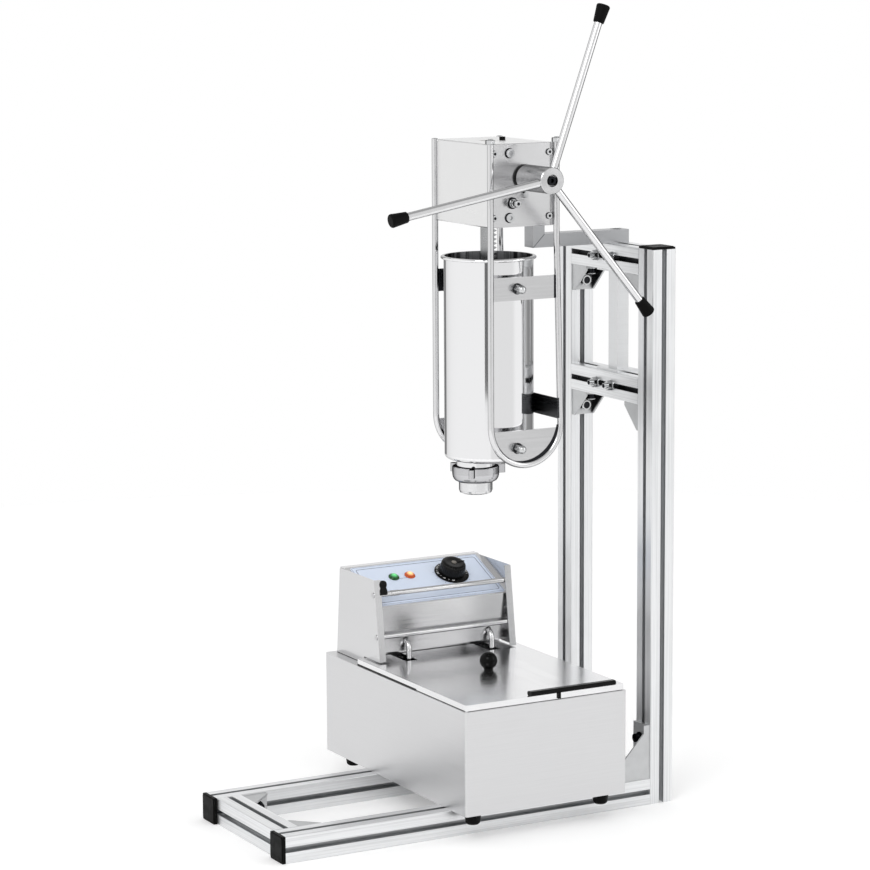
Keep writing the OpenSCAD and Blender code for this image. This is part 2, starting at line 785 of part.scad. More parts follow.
// The rack's outline in x and z: a straight back, and straight flanked teeth towards +x
module rack_outline() {
    half_t = (tooth_pitch / 2 - backlash) / 2;
    slope = tan(pressure_angle);
    tip = half_t - gear_module * slope;
    root = half_t + 1.25 * gear_module * slope;
    root_x = pitch_x - 1.25 * gear_module;
    first = -ceil((travel + 2 * gear_module) / tooth_pitch) - 2;
    last = floor((rack_top - shaft_z - 2 * gear_module) / tooth_pitch);
    teeth = [for (i = [first : last]) let (z = shaft_z + i * tooth_pitch)
        each [[root_x, z - root], [rack_x1, z - tip], [rack_x1, z + tip], [root_x, z + root]]];
    foot_z = shaft_z + first * tooth_pitch - root - 2;
    polygon(concat(
        [[rack_x0, piston_top], [rack_x1, piston_top], [rack_x1, foot_z], [root_x, foot_z]],
        teeth,
        [[root_x, rack_top], [rack_x0, rack_top]]
    ));
}

module rack() {
    color([0.62, 0.62, 0.64]) translate([0, mid_y, 0]) difference() {
        along_y(rack_t) rack_outline();
        translate([can_x, 0, piston_top - 1]) cylinder(d = 8 + 2 * seat_fit, h = 26);
    }
}

// Half the angle that a pinion tooth takes up at radius r
function involute(a) = tan(a) - a * PI / 180;
function tooth_half_angle(r) =
    90 / pinion_teeth + (involute(pressure_angle) - involute(acos(min(1, base_r / r)))) * 180 / PI;

// The pinion's outline, with a gap between two teeth at the -x side
module pinion_outline() {
    steps = 4;
    radii = [for (i = [0 : steps]) base_r + (tip_r - base_r) * i / steps];
    flank = concat([[root_r, tooth_half_angle(base_r)]], [for (r = radii) [r, tooth_half_angle(r)]]);
    back = [for (i = [len(flank) - 1 : -1 : 0]) flank[i]];
    polygon([for (k = [0 : pinion_teeth - 1]) let (a = 180 + (k + 0.5) * 360 / pinion_teeth)
        each concat(
            [for (p = flank) p[0] * [cos(a - p[1]), sin(a - p[1])]],
            [for (p = back) p[0] * [cos(a + p[1]), sin(a + p[1])]]
        )]);
}

module pinion_shaft() {
    y0 = hub_y + 16;
    y1 = box_y1 + 2;
    color([0.6, 0.6, 0.62]) difference() {
        union() {
            translate([shaft_x, y0, shaft_z]) bar_y(shaft_d, y1 - y0);
            translate([shaft_x, mid_y, shaft_z]) along_y(pinion_face) pinion_outline();
        }
        translate([shaft_x, y0 - 1, shaft_z]) bar_y(8 + 2 * seat_fit, 26);
    }
}

// A flanged bush whose sleeve points along +z from its flange
module flanged_bush(flange_d, flange_t) {
    difference() {
        union() {
            translate([0, 0, -flange_t]) cylinder(d = flange_d, h = flange_t);
            cylinder(d = bush_d, h = bush_l);
        }
        translate([0, 0, -flange_t - 1]) cylinder(d = shaft_d + 2 * run_fit, h = bush_l + flange_t + 2);
    }
}

module shaft_bushings() {
    color([0.12, 0.12, 0.12]) {
        translate([shaft_x, box_y0, shaft_z]) rotate([-90, 0, 0]) flanged_bush(hub_d, bush_flange);
        translate([shaft_x, box_y1, shaft_z]) rotate([90, 0, 0]) flanged_bush(bush_d + 8, 3);
    }
}

// ---------------------------------------------------------------- crank

spoke_y = hub_y + spoke_back;
spoke_root_r = hub_d / 2 - 8.5;

// Places children on each spoke, with +z along the spoke
module on_spokes() {
    for (i = [0 : 2])
        translate([shaft_x, spoke_y, shaft_z]) rotate([0, 90 - spoke_angle - 120 * i, 0]) children();
}

module hub() {
    recess = 8;
    l = hub_out - bush_flange - air;
    edge = 1;
    color("silver") difference() {
        translate([shaft_x, hub_y, shaft_z]) rotate([-90, 0, 0]) rotate_extrude()
            polygon([[0, 0], [hub_d / 2 - edge, 0], [hub_d / 2, edge], [hub_d / 2, l], [0, l]]);
        translate([shaft_x, hub_y - 1, shaft_z]) bar_y(18, recess + 1);
        translate([shaft_x, hub_y, shaft_z]) bar_y(8 + 2 * bolt_fit, 20);
        translate([shaft_x, hub_y + 16, shaft_z]) bar_y(shaft_d + 2 * seat_fit, l);
        on_spokes() translate([0, 0, spoke_root_r]) cylinder(d = spoke_d + 2 * seat_fit, h = hub_d / 2);
    }
}

module hub_screw() {
    color([0.1, 0.1, 0.1]) translate([shaft_x, hub_y + 8, shaft_z]) rotate([90, 0, 0])
        socket_screw(8, 32, 13, 7);
}

module handle_spokes() {
    color("silver") on_spokes() translate([0, 0, spoke_root_r + 0.2])
        cylinder(d = spoke_d, h = crank_r - 5 - spoke_root_r);
}

// A rubber knob: it widens from the rod to a rounded end
module handle_knobs() {
    r0 = spoke_d / 2 + 2.2;
    r1 = knob_d / 2;
    e = 3;
    color([0.08, 0.08, 0.08]) on_spokes() translate([0, 0, crank_r - knob_l]) difference() {
        rotate_extrude() polygon(concat(
            [[0, 0], [r0 - 1, 0], [r0, 1]],
            [for (a = [0 : 15 : 90]) [r1 - e + e * cos(a), knob_l - e + e * sin(a)]],
            [[0, knob_l]]
        ));
        translate([0, 0, -1]) cylinder(d = spoke_d + 2 * seat_fit, h = knob_l - 4 + seat_fit * 10);
    }
}

// ---------------------------------------------------------------- plunger, stop pin and plug

collar_t = 5;

module plunger_collar() {
    color([0.08, 0.08, 0.08]) translate([plunger_x, box_y0, plunger_z]) rotate([90, 0, 0]) difference() {
        union() {
            cylinder(d = 17, h = collar_t);
            translate([0, 0, -face_plate - 6]) cylinder(d = 10, h = face_plate + 7);
        }
        translate([0, 0, -face_plate - 7]) cylinder(d = 6 + 2 * run_fit, h = collar_t + face_plate + 9);
    }
}

module plunger_pin() {
    grip_l = 14;
    tip = mid_y - rack_t / 2 - 0.5;
    y0 = box_y0 - collar_t - 0.2;
    color("silver") difference() {
        union() {
            translate([plunger_x, y0 - grip_l, plunger_z]) bar_y(11, grip_l);
            translate([plunger_x, y0 - 1, plunger_z]) bar_y(6, tip - y0 + 1);
        }
        translate([plunger_x - 8, y0 - grip_l + 4, plunger_z]) bar_x(3.5, 16);
    }
}

module stop_pin() {
    color("silver") translate([shaft_x - 1.5, box_y0, shaft_z - stop_drop]) rotate([-90, 0, 0]) {
        translate([0, 0, -4.5]) cylinder(d = 9, h = 4.5);
        cylinder(d = 7, h = face_plate);
    }
}

module grease_plug() {
    color([0.1, 0.1, 0.1]) translate([shaft_x + 6, mid_y, box_top]) {
        cylinder(d = 9, h = 5);
        translate([0, 0, -box_sheet - 2]) cylinder(d = 6 - 2 * seat_fit, h = box_sheet + 3);
    }
}

// ---------------------------------------------------------------- frame rods and what they hold

// An arc of a rod in x and z about the origin, r from it, from the angle a0 to a1
module rod_arc(d, r, a0, a1) {
    rotate([90, 0, 0]) rotate([0, 0, a0]) rotate_extrude(angle = a1 - a0) translate([r, 0]) circle(d = d);
}

// A rod bent to a U in the plane y = 0: its left leg is upright, its right leg leans in towards the
// gearbox, and both end in thinner threaded studs that pass the gearbox's ears
module u_rod(d) {
    dx = rod_right_x - bend_x;
    dz = rod_shoulder_z - rod_bend_z;
    l = sqrt(dx * dx + dz * dz - bend_r * bend_r);
    lean = atan2(dz, dx) - atan2(l, bend_r);
    translate([rod_left_x, 0, rod_bend_z]) cylinder(d = d, h = rod_shoulder_z - rod_bend_z);
    translate([bend_x, 0, rod_bend_z]) {
        rod_arc(d, bend_r, 180, 270);
        translate([-2, 0, -bend_r]) rotate([0, 90, 0]) cylinder(d = d - 1, h = 4);
        rotate([0, -lean, 0]) {
            rod_arc(d, bend_r, 0, -90 - lean);
            translate([bend_r, 0, 0]) cylinder(d = d, h = l);
        }
    }
    for (x = [rod_left_x, rod_right_x])
        translate([x, 0, rod_shoulder_z - 4]) cylinder(d = d - rod_d + stud_d, h = rod_top - rod_shoulder_z + 4);
}

module u_rod_front() { color("silver") translate([0, rod_y[0], 0]) u_rod(rod_d); }
module u_rod_rear() { color("silver") translate([0, rod_y[1], 0]) u_rod(rod_d); }

module rod_nuts() {
    color("silver") for (x = [rod_left_x, rod_right_x], y = rod_y)
        translate([x, y, box_top]) hex_nut(rod_nut_d, 8, stud_d + 2 * seat_fit);
}

module upper_side_plates() {
    color("silver") for (y = rod_y) translate([0, y, 0]) difference() {
        translate([rod_left_x, -side_plate_t / 2, upper_plate_z - side_plate_h / 2])
            cube([rod_span_low, side_plate_t, side_plate_h]);
        u_rod(rod_d + 2 * seat_fit);
        translate([rod_left_x - 40, -9, upper_plate_z - side_plate_h]) cube([40 + rod_d / 2, 18, 2 * side_plate_h]);
        translate([rod_right_x + 2, -9, upper_plate_z - side_plate_h]) cube([40, 18, 2 * side_plate_h]);
        translate([can_x, -9, upper_plate_z]) bar_y(bolt_hole_d, 18);
    }
}

module lower_side_plates() {
    top = rod_bend_z - 7;
    color("silver") for (y = rod_y) translate([0, y, 0]) difference() {
        intersection() {
            translate([bend_x, 0, rod_bend_z]) along_y(side_plate_t) circle(r = bend_r - rod_d / 2 - seat_fit);
            translate([bend_x - bend_r, -side_plate_t, rod_bend_z - bend_r])
                cube([2 * bend_r, 2 * side_plate_t, top - rod_bend_z + bend_r]);
        }
        translate([can_x, -9, lower_bolt_z]) bar_y(bolt_hole_d, 18);
    }
}

module back_band() {
    z = rod_bend_z + 6.5;
    lean_x = (rod_span_low - rod_span_top) * (rod_shoulder_z - z - band_h) / (rod_shoulder_z - rod_bend_z);
    x0 = can_x + can_r + air;
    x1 = rod_right_x + 0.95 * lean_x - rod_d / 2;
    color([0.35, 0.35, 0.36]) translate([x0, rod_y[0] - rod_d / 2, z])
        cube([x1 - x0, rod_y[1] - rod_y[0] + rod_d, band_h]);
}

// A bolt through each side plate: a pad behind, a lock nut and a cap nut in front
module plate_fasteners() {
    lock_h = 6;
    color("silver") for (i = [0, 1], z = [upper_plate_z, lower_bolt_z]) {
        s = i == 0 ? -1 : 1;
        translate([can_x, rod_y[i] + s * side_plate_t / 2, z]) rotate([s < 0 ? 90 : -90, 0, 0]) {
            hex_nut(cap_nut_d, lock_h, screw_d + 2 * seat_fit);
            translate([0, 0, lock_h]) difference() {
                union() {
                    cylinder(d = cap_nut_d, h = 5, $fn = 6);
                    translate([0, 0, 5]) cylinder(d = cap_nut_d - 2.2, h = 2);
                    translate([0, 0, 7]) intersection() {
                        sphere(d = cap_nut_d - 2.2);
                        cylinder(d = cap_nut_d, h = cap_nut_d);
                    }
                }
                translate([0, 0, -1]) cylinder(d = screw_d + 2 * seat_fit, h = 7.2);
            }
            translate([0, 0, -side_plate_t - 9]) cylinder(d = screw_d, h = side_plate_t + 9 + lock_h + 5);
        }
    }
}

// Nylon pads between the side plates and the cylinder, hollowed to the cylinder's wall
module guide_pads() {
    pad_w = 28;
    pad_h = 24;
    color([0.12, 0.12, 0.13]) for (i = [0, 1], z = [upper_plate_z, lower_bolt_z]) {
        s = i == 0 ? -1 : 1;
        face = abs(rod_y[i] - mid_y) - side_plate_t / 2 - 0.02;
        difference() {
            translate([can_x - pad_w / 2, s < 0 ? mid_y - face : mid_y + can_r - 9, z - pad_h / 2])
                cube([pad_w, face - can_r + 9, pad_h]);
            translate([can_x, mid_y, z - pad_h]) cylinder(r = can_r + air, h = 2 * pad_h);
            translate([can_x, s < 0 ? mid_y - face - 1 : mid_y + face - 9.5, z])
                bar_y(screw_d + 2 * seat_fit, 10.5);
        }
    }
}

// ---------------------------------------------------------------- cylinder, piston and outlet

module cylinder_body_section() {
    bead = (rim_d - can_d) / 2;
    corner = 8;
    polygon(concat(
        [[0, 0]],
        [for (a = [-90 : 15 : 0]) [can_r - corner + corner * cos(a), corner + corner * sin(a)]],
        [[can_r, rim_z - can_z - bead]],
        [for (a = [-75 : 15 : 90]) [can_r + bead / 2 + bead / 2 * cos(a), rim_z - can_z - bead / 2 + bead / 2 * sin(a)]],
        [[can_inner_r, rim_z - can_z]],
        [for (a = [0 : -15 : -90])
            [can_inner_r - (corner - can_wall) * (1 - cos(a)), corner + (corner - can_wall) * sin(a)]],
        [[0, can_wall]]
    ));
}

module cylinder_can() {
    color([0.85, 0.85, 0.87]) difference() {
        union() {
            translate([can_x, mid_y, can_z]) rotate_extrude($fn = 96) cylinder_body_section();
            translate([outlet_x, mid_y, neck_z]) cylinder(d = neck_d, h = neck_l + can_wall / 2);
        }
        translate([outlet_x, mid_y, neck_z - 1]) cylinder(d = neck_d - 2 * neck_wall, h = neck_l + can_wall + 2);
    }
}

module piston() {
    groove = 5;
    r = can_inner_r - air;
    color([0.9, 0.9, 0.88]) translate([can_x, mid_y, piston_z]) difference() {
        rotate_extrude($fn = 96) polygon([
            [0, 0], [r - 5, 0], [r, 4], [r, (piston_t - groove) / 2 + 1], [r - 4, (piston_t - groove) / 2 + 1],
            [r - 4, (piston_t + groove) / 2 + 1], [r, (piston_t + groove) / 2 + 1], [r, piston_t], [0, piston_t]
        ]);
        translate([0, 0, -1]) cylinder(d = 8 + 2 * seat_fit, h = piston_t + 2);
        translate([0, 0, -1]) cylinder(d = 17, h = 6);
    }
    color("silver") translate([can_x, mid_y, piston_z + 5]) rotate([180, 0, 0]) socket_screw(8, 30, 13, 4.5);
}

module piston_seal() {
    groove = 5;
    r0 = can_inner_r - air - 4 + 0.1;
    r1 = can_inner_r - run_fit;
    z0 = (piston_t - groove) / 2 + 1.1;
    color([0.15, 0.15, 0.15]) translate([can_x, mid_y, piston_z]) rotate_extrude($fn = 96)
        polygon([[r0, z0], [r1 - 1, z0], [r1, z0 + 1], [r1, z0 + groove - 1.2], [r1 - 1, z0 + groove - 0.2],
                 [r0, z0 + groove - 0.2]]);
}

// The union nut: a ring with an inward lip under the nozzle's flange, and three wings
module union_nut() {
    lip = 3;
    r = union_d / 2;
    foot_r = nozzle_d / 2 + 2.5;
    rise = 12;
    color([0.8, 0.8, 0.82]) translate([outlet_x, mid_y, union_z]) difference() {
        union() {
            rotate_extrude() polygon(concat(
                [[0, 0], [foot_r, 0]],
                [for (a = [30 : 15 : 90]) [foot_r + (r - foot_r) * sin(a), rise * (1 - cos(a)) + 0.5]],
                [[r, union_h - 1], [r - 1, union_h], [0, union_h]]
            ));
            for (i = [0 : 2]) rotate(-8 + 120 * i) {
                translate([r - 4, -4, union_h - 13]) cube([wing_r - r, 8, 13]);
                translate([wing_r - 4, 0, union_h - 13]) cylinder(d = 8, h = 13);
            }
        }
        translate([0, 0, lip]) cylinder(d = neck_d + 2 * run_fit, h = union_h);
        translate([0, 0, -1]) cylinder(d = nozzle_d + 2 * run_fit + 0.6, h = lip + 2);
    }
}

// The nozzle: a flange that the union nut holds, a barrel and a star shaped mouth
module nozzle() {
    h = nozzle_out + 3;
    points = 6;
    floor_t = 4;
    r = nozzle_d / 2;
    color([0.8, 0.8, 0.82]) translate([outlet_x, mid_y, union_z + 3.1]) difference() {
        translate([0, 0, -h]) rotate_extrude() polygon([
            [0, 0], [r - 5, 0], [r - 1.5, 1.5], [r, 5], [r, h], [neck_d / 2 - 0.3, h],
            [neck_d / 2 - 0.3, h + nozzle_flange_t], [0, h + nozzle_flange_t]
        ]);
        translate([0, 0, -h + floor_t]) cylinder(d = nozzle_d - 12, h = h + nozzle_flange_t);
        translate([0, 0, -h - 1]) linear_extrude(floor_t + 2) polygon([
            for (i = [0 : 2 * points - 1])
                (i % 2 == 0 ? nozzle_bore / 2 : nozzle_bore / 3) * [cos(180 / points * i), sin(180 / points * i)]
        ]);
    }
}

module union_gasket() {
    z = union_z + 3 + 0.1 + nozzle_flange_t;
    color([0.9, 0.9, 0.9]) translate([outlet_x, mid_y, z])
        washer(neck_d - 1, neck_z - z, neck_d - 2 * neck_wall);
}

// ---------------------------------------------------------------- fryer

module fryer_body() {
    top = 24;
    open_w = tank_w + 2;
    open_l = tank_l + 2;
    color([0.82, 0.82, 0.83]) difference() {
        translate([fryer_x, 0, profile]) linear_extrude(fryer_h) round_rect(fryer_w, fryer_l, 4);
        translate([fryer_x, 0, profile + sheet]) linear_extrude(fryer_h - 2 * sheet)
            round_rect(fryer_w - 2 * sheet, fryer_l - 2 * sheet, 3);
        translate([fryer_x, tank_y, fryer_top - top]) linear_extrude(top + 1) round_rect(open_w, open_l, 24);
        for (p = foot_places) translate([p.x, p.y, profile - 1]) cylinder(d = 5 + 2 * bolt_fit, h = sheet + 2);
    }
}

// The feet stand outside the rails, so they only touch a table when the fryer is lifted off
foot_gap = 2;
foot_places = [for (x = [fryer_x - fryer_w / 2 + 20, fryer_x + fryer_w / 2 - 36],
                    y = [min(fryer_front + 15, front_y - half - foot_d / 2 - foot_gap), fryer_front + fryer_l - 54]) [x, y]];

module fryer_feet() {
    color([0.08, 0.08, 0.08]) for (p = foot_places) translate([p.x, p.y, profile]) {
        rotate([180, 0, 0]) rotate_extrude() polygon([[0, 0], [foot_d / 2, 0], [foot_d / 2 - 2, foot_h - 2],
                                                      [foot_d / 2 - 4, foot_h], [0, foot_h]]);
        cylinder(d = 5, h = sheet + 4);
    }
}

// The oil tank hangs by its rim in the body's opening
module fryer_tank() {
    color([0.75, 0.75, 0.76]) translate([fryer_x, tank_y, fryer_top]) difference() {
        union() {
            translate([0, 0, -tank_h]) linear_extrude(tank_h) round_rect(tank_w, tank_l, 24);
            linear_extrude(sheet) round_rect(tank_w + 2 * tank_rim, tank_l + 2 * tank_rim, 30);
        }
        translate([0, 0, -tank_h + sheet]) linear_extrude(tank_h + sheet)
            round_rect(tank_w - 2 * sheet, tank_l - 2 * sheet, 23);
    }
}

// The lid is an upturned pan with two slots at the rear for the element's tubes
module fryer_lid() {
    y = (lid_y0 + lid_y1) / 2;
    slot_w = element_d + 12;
    color([0.85, 0.85, 0.86]) difference() {
        translate([fryer_x, y, fryer_top]) linear_extrude(lid_h) round_rect(lid_w, lid_l, 3);
        translate([fryer_x, y, fryer_top - 1]) linear_extrude(lid_h - sheet + 1)
            round_rect(lid_w - 2 * sheet, lid_l - 2 * sheet, 2);
        for (x = element_x)
            translate([x - slot_w / 2, element_y - slot_w / 2, fryer_top - 1]) cube([slot_w, lid_l, lid_h + 2]);
        translate([knob_at.x, knob_at.y, fryer_top]) cylinder(d = 6 + 2 * bolt_fit, h = lid_h + 1);
        translate([fryer_x - tank_w / 2 - tank_rim - 1, lid_y1 - 2 * sheet, fryer_top - 1])
            cube([tank_w + 2 * tank_rim + 2, 4 * sheet, sheet + air + 1]);
    }
}

knob_at = [fryer_x + 5, mid_y + 1.5];

module lid_knob() {
    color([0.06, 0.06, 0.06]) translate([knob_at.x, knob_at.y, lid_top]) {
        cylinder(d = 14, h = 4);
        translate([0, 0, ball_d / 2 + 0.8]) sphere(d = ball_d);
        translate([0, 0, -sheet - 5]) cylinder(d = 6, h = sheet + 7);
    }
}

module lid_grip() {
    grip_l = 145;
    grip_h = 7;
    grip_w = 12;
    x1 = fryer_x + lid_w / 2 - 15;
    color([0.1, 0.1, 0.1]) {
        translate([x1 - grip_l / 2, lid_y0 + grip_w / 2 - 2, lid_top]) rotate([0, -90, 0])
            linear_extrude(grip_l, center = true)
                translate([grip_h / 2, 0]) round_rect(grip_h, grip_w, 3);
        translate([x1 - grip_l + 45, lid_y0 - 2.2, lid_top - 8]) cube([5, 2.2, 9]);
    }
}

// The control head's cheek outline in y and z
module cheek_outline() {
    polygon([
        [head_rear, fryer_top], [cheek_step_y, fryer_top], [cheek_step_y, cheek_gap_z],
        [cheek_front_y, cheek_gap_z], [cheek_front_y + 17, head_top], [head_rear - 12, head_top]
    ]);
}

// The housing's outline between the cheeks
module housing_outline(g) {
    polygon([
        [head_rear - g, fryer_top + g], [cheek_step_y + g, fryer_top + g], [cheek_step_y + g, wall_z0 + g],
        [wall_y + g, wall_z0 + g], [slope_y0 + g * 1.4, slope_z0 - g * 0.2],
        [slope_y1 + g * 0.2, slope_z1 - g * 1.1], [head_rear - 12 - g, slope_z1 - g * 1.1]
    ]);
}

module control_head() {
    flange = 11;
    color([0.8, 0.8, 0.81]) difference() {
        union() {
            translate([fryer_x, 0, 0]) difference() {
                along_x(head_w - 2 * sheet + 0.02) housing_outline(0);
                along_x(head_w - 4 * sheet) housing_outline(sheet);
            }
            for (s = [-1, 1]) {
                translate([fryer_x + s * (head_w - sheet) / 2, 0, 0]) along_x(sheet) cheek_outline();
                translate([fryer_x + s * (head_w - flange) / 2, 0, 0]) along_x(flange) polygon([
                    [cheek_front_y, cheek_gap_z], [cheek_front_y + sheet, cheek_gap_z],
                    [cheek_front_y + 17 + sheet, head_top], [cheek_front_y + 17, head_top]
                ]);
            }
        }
        for (p = [rod_low, rod_high])
            translate([fryer_x - head_w, p.x, p.y]) bar_x(head_rod_d + 0.2, 2 * head_w);
        for (x = element_x)
            translate([x, wall_y - 8, wall_z0 + 16]) bar_y(element_d + 1.6, 20);
        translate([fryer_x, head_rear - 12, fryer_top + 20]) bar_y(14 + 2 * seat_fit, 20);
        on_slope(dial_at.x, dial_at.y) translate([0, 0, -12]) cylinder(d = 8, h = 20);
        for (p = lamp_at) on_slope(p.x, p.y) translate([0, 0, -12]) cylinder(d = 8, h = 20);
    }
}

// Places children on the sloped front, x from its middle and s up from its lower edge
module on_slope(x, s) {
    translate([fryer_x + x, slope_y0, slope_z0]) rotate([slope_angle, 0, 0]) translate([0, s, 0]) children();
}

module control_panel() {
    panel_w = head_w - 2 * sheet - 14;
    color([0.78, 0.86, 0.93]) difference() {
        on_slope(0, slope_l / 2) linear_extrude(panel_t) round_rect(panel_w, slope_l - 8, 3);
        on_slope(dial_at.x, dial_at.y) translate([0, 0, -1]) cylinder(d = 8, h = 4);
        for (p = lamp_at) on_slope(p.x, p.y) translate([0, 0, -1]) cylinder(d = 8, h = 4);
    }
}

// A knob with a flat skirt, a fluted body and a shaft into the housing
module thermostat_knob() {
    flutes = 12;
    body_r = dial_d / 2 - 6;
    color([0.07, 0.07, 0.07]) on_slope(dial_at.x, dial_at.y) translate([0, 0, panel_t + 0.3]) {
        cylinder(d = dial_d, h = 3);
        translate([0, 0, 2]) linear_extrude(13) difference() {
            circle(r = body_r);
            for (i = [0 : flutes - 1]) rotate(360 / flutes * i) translate([body_r + 1.2, 0]) circle(d = 5, $fn = 24);
        }
        translate([0, 0, -panel_t - 9]) cylinder(d = 6, h = panel_t + 10);
    }
}

module pilot_lamps() {
    color([0.2, 0.8, 0.3]) for (p = lamp_at) on_slope(p.x, p.y) {
        translate([0, 0, panel_t]) cylinder(d = 12, h = 2);
        translate([0, 0, panel_t + 1]) cylinder(d = 9, h = 4);
        translate([0, 0, -6]) cylinder(d = 8 - 2 * bolt_fit, h = 7 + panel_t);
    }
}

module head_rods() {
    color("silver") for (p = [rod_low, rod_high])
        translate([fryer_x - head_w / 2 - 1, p.x, p.y]) bar_x(head_rod_d, head_w + 2);
}

module rod_bumper() {
    l = 14;
    color([0.06, 0.06, 0.06]) translate([fryer_x - head_w / 2 + 30, rod_high.x, rod_high.y])
        rotate([0, 90, 0]) washer(head_rod_d + 8, l, head_rod_d + 0.1);
}

// One tube of the element, from the head's front wall down through the lid and along the tank's floor
module element_leg(x) {
    r = element_d / 2;
    bend = 14;
    z = wall_z0 + 16;
    y1 = element_y + bend;
    translate([x, y1, z]) bar_y(element_d, wall_y + 8 - y1);
    translate([x, y1, z - bend]) rotate([90, 0, -90]) rotate_extrude(angle = 90) translate([bend, 0]) circle(r = r);
    translate([x, element_y, element_low_z + bend]) cylinder(r = r, h = z - bend - element_low_z - bend);
    translate([x, element_y - bend, element_low_z + bend]) rotate([90, 0, 90])
        rotate([0, 0, 270]) rotate_extrude(angle = 90) translate([bend, 0]) circle(r = r);
    translate([x, element_front, element_low_z]) bar_y(element_d, element_y - bend - element_front);
}

module heating_element() {
    mid = (element_x[0] + element_x[1]) / 2;
    color([0.7, 0.7, 0.72]) {
        for (x = element_x) element_leg(x);
        translate([mid, element_front, element_low_z]) rotate(180)
            rotate_extrude(angle = 180) translate([element_span, 0]) circle(d = element_d);
    }
}

module cable_gland() {
    color([0.08, 0.08, 0.08]) translate([fryer_x, head_rear - 8, fryer_top + 20]) rotate([-90, 0, 0]) difference() {
        union() {
            cylinder(d = 14, h = 14);
            translate([0, 0, 8]) cylinder(d = 22, h = 8, $fn = 6);
        }
        translate([0, 0, -1]) cylinder(d = 7, h = 20);
    }
}

base_rail_front();
base_rail_rear();
base_cross_rails();
post_front();
post_rear();
cross_rail_top();
cross_rail_mid();
rail_end_caps();
post_end_caps();
corner_brackets();
post_gussets();
bracket_fasteners();
tube_bracket();
strut();
clamp_bolts();
gearbox_shell();
gearbox_front_plate();
gearbox_rear_plate();
gearbox_fasteners();
guide_block_upper();
guide_block_lower();
rack();
pinion_shaft();
shaft_bushings();
hub();
hub_screw();
handle_spokes();
handle_knobs();
plunger_collar();
plunger_pin();
stop_pin();
grease_plug();
u_rod_front();
u_rod_rear();
rod_nuts();
upper_side_plates();
lower_side_plates();
back_band();
plate_fasteners();
guide_pads();
cylinder_can();  // cylinder
piston();
piston_seal();
union_nut();
union_gasket();
nozzle();
fryer_body();
fryer_tank();
fryer_lid();
lid_knob();
lid_grip();
control_head();
control_panel();
thermostat_knob();
pilot_lamps();
head_rods();
rod_bumper();
heating_element();
fryer_feet();
cable_gland();
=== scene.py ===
import math

import bmesh
import bpy
import numpy as np
from mathutils import Matrix, Vector


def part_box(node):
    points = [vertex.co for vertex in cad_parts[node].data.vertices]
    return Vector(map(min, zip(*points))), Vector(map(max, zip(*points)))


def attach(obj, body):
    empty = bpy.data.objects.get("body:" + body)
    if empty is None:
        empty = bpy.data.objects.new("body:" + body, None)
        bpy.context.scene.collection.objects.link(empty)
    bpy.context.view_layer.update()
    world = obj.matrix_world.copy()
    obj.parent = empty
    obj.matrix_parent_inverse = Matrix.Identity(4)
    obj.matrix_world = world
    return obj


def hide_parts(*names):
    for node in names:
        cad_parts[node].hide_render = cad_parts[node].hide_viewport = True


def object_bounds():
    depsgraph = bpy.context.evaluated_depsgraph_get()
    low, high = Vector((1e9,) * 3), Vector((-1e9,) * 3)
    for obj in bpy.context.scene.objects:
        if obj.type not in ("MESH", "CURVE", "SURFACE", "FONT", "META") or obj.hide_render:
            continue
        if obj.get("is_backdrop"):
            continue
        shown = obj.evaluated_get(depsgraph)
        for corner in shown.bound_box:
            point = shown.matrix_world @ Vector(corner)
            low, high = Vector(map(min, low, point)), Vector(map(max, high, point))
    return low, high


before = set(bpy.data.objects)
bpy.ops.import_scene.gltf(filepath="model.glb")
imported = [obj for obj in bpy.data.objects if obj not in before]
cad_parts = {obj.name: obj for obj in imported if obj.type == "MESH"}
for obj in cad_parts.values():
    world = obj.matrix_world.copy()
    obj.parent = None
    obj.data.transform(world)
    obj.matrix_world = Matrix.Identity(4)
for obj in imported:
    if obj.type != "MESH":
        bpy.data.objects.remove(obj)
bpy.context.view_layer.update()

MM = 0.001

# ---------------------------------------------------------------------------
# Sizes, in metres, as the solids have them
# ---------------------------------------------------------------------------
HALF = 20 * MM                  # half of a profile's side
ROD_R = 4.5 * MM                # the bent rods
BEND_R = 59 * MM
BEND_Z = 588 * MM
FACE_PLATE = 4 * MM             # thickness of the gearbox's face plates
CAN_X, CAN_Y = 81.55 * MM, -44 * MM
CAN_INNER_R, CAN_BOTTOM = 65 * MM, 533 * MM
PLATE_BOLT_Z, LOW_BOLT_Z = 790 * MM, 555 * MM
TOP_RAIL_Z, MID_RAIL_Z = 820 * MM, 626 * MM
MOUNT_X, TUBE_Z = 150.55 * MM, 840 * MM     # the bent tube's outer corner
SLOPE = math.radians(24.015)    # the control head's sloped front
SLOPE_START = (87.5 * MM, 288.5 * MM)
SLOPE_L = 110.57 * MM
EYE = (-2.16330, -3.95349, 1.28377)
EYE_TURN = -28.843              # degrees round the vertical, 0 looks along +Y
EYE_DROP = 9.075                # degrees below the horizon
EYE_ROLL = -0.324
EYE_LENS = 126.88               # on a 36 mm sensor


# ---------------------------------------------------------------------------
# Small tools
# ---------------------------------------------------------------------------
def linear(code):
    """sRGB hex to a linear colour with alpha."""
    rgb = [int(code[i:i + 2], 16) / 255 for i in (1, 3, 5)]
    return (*[c / 12.92 if c <= 0.04045 else ((c + 0.055) / 1.055) ** 2.4 for c in rgb], 1)


def toned(colour, share, lift=0.0):
    """A linear colour, each part times share plus lift."""
    return (*[c * share + lift for c in colour[:3]], 1)


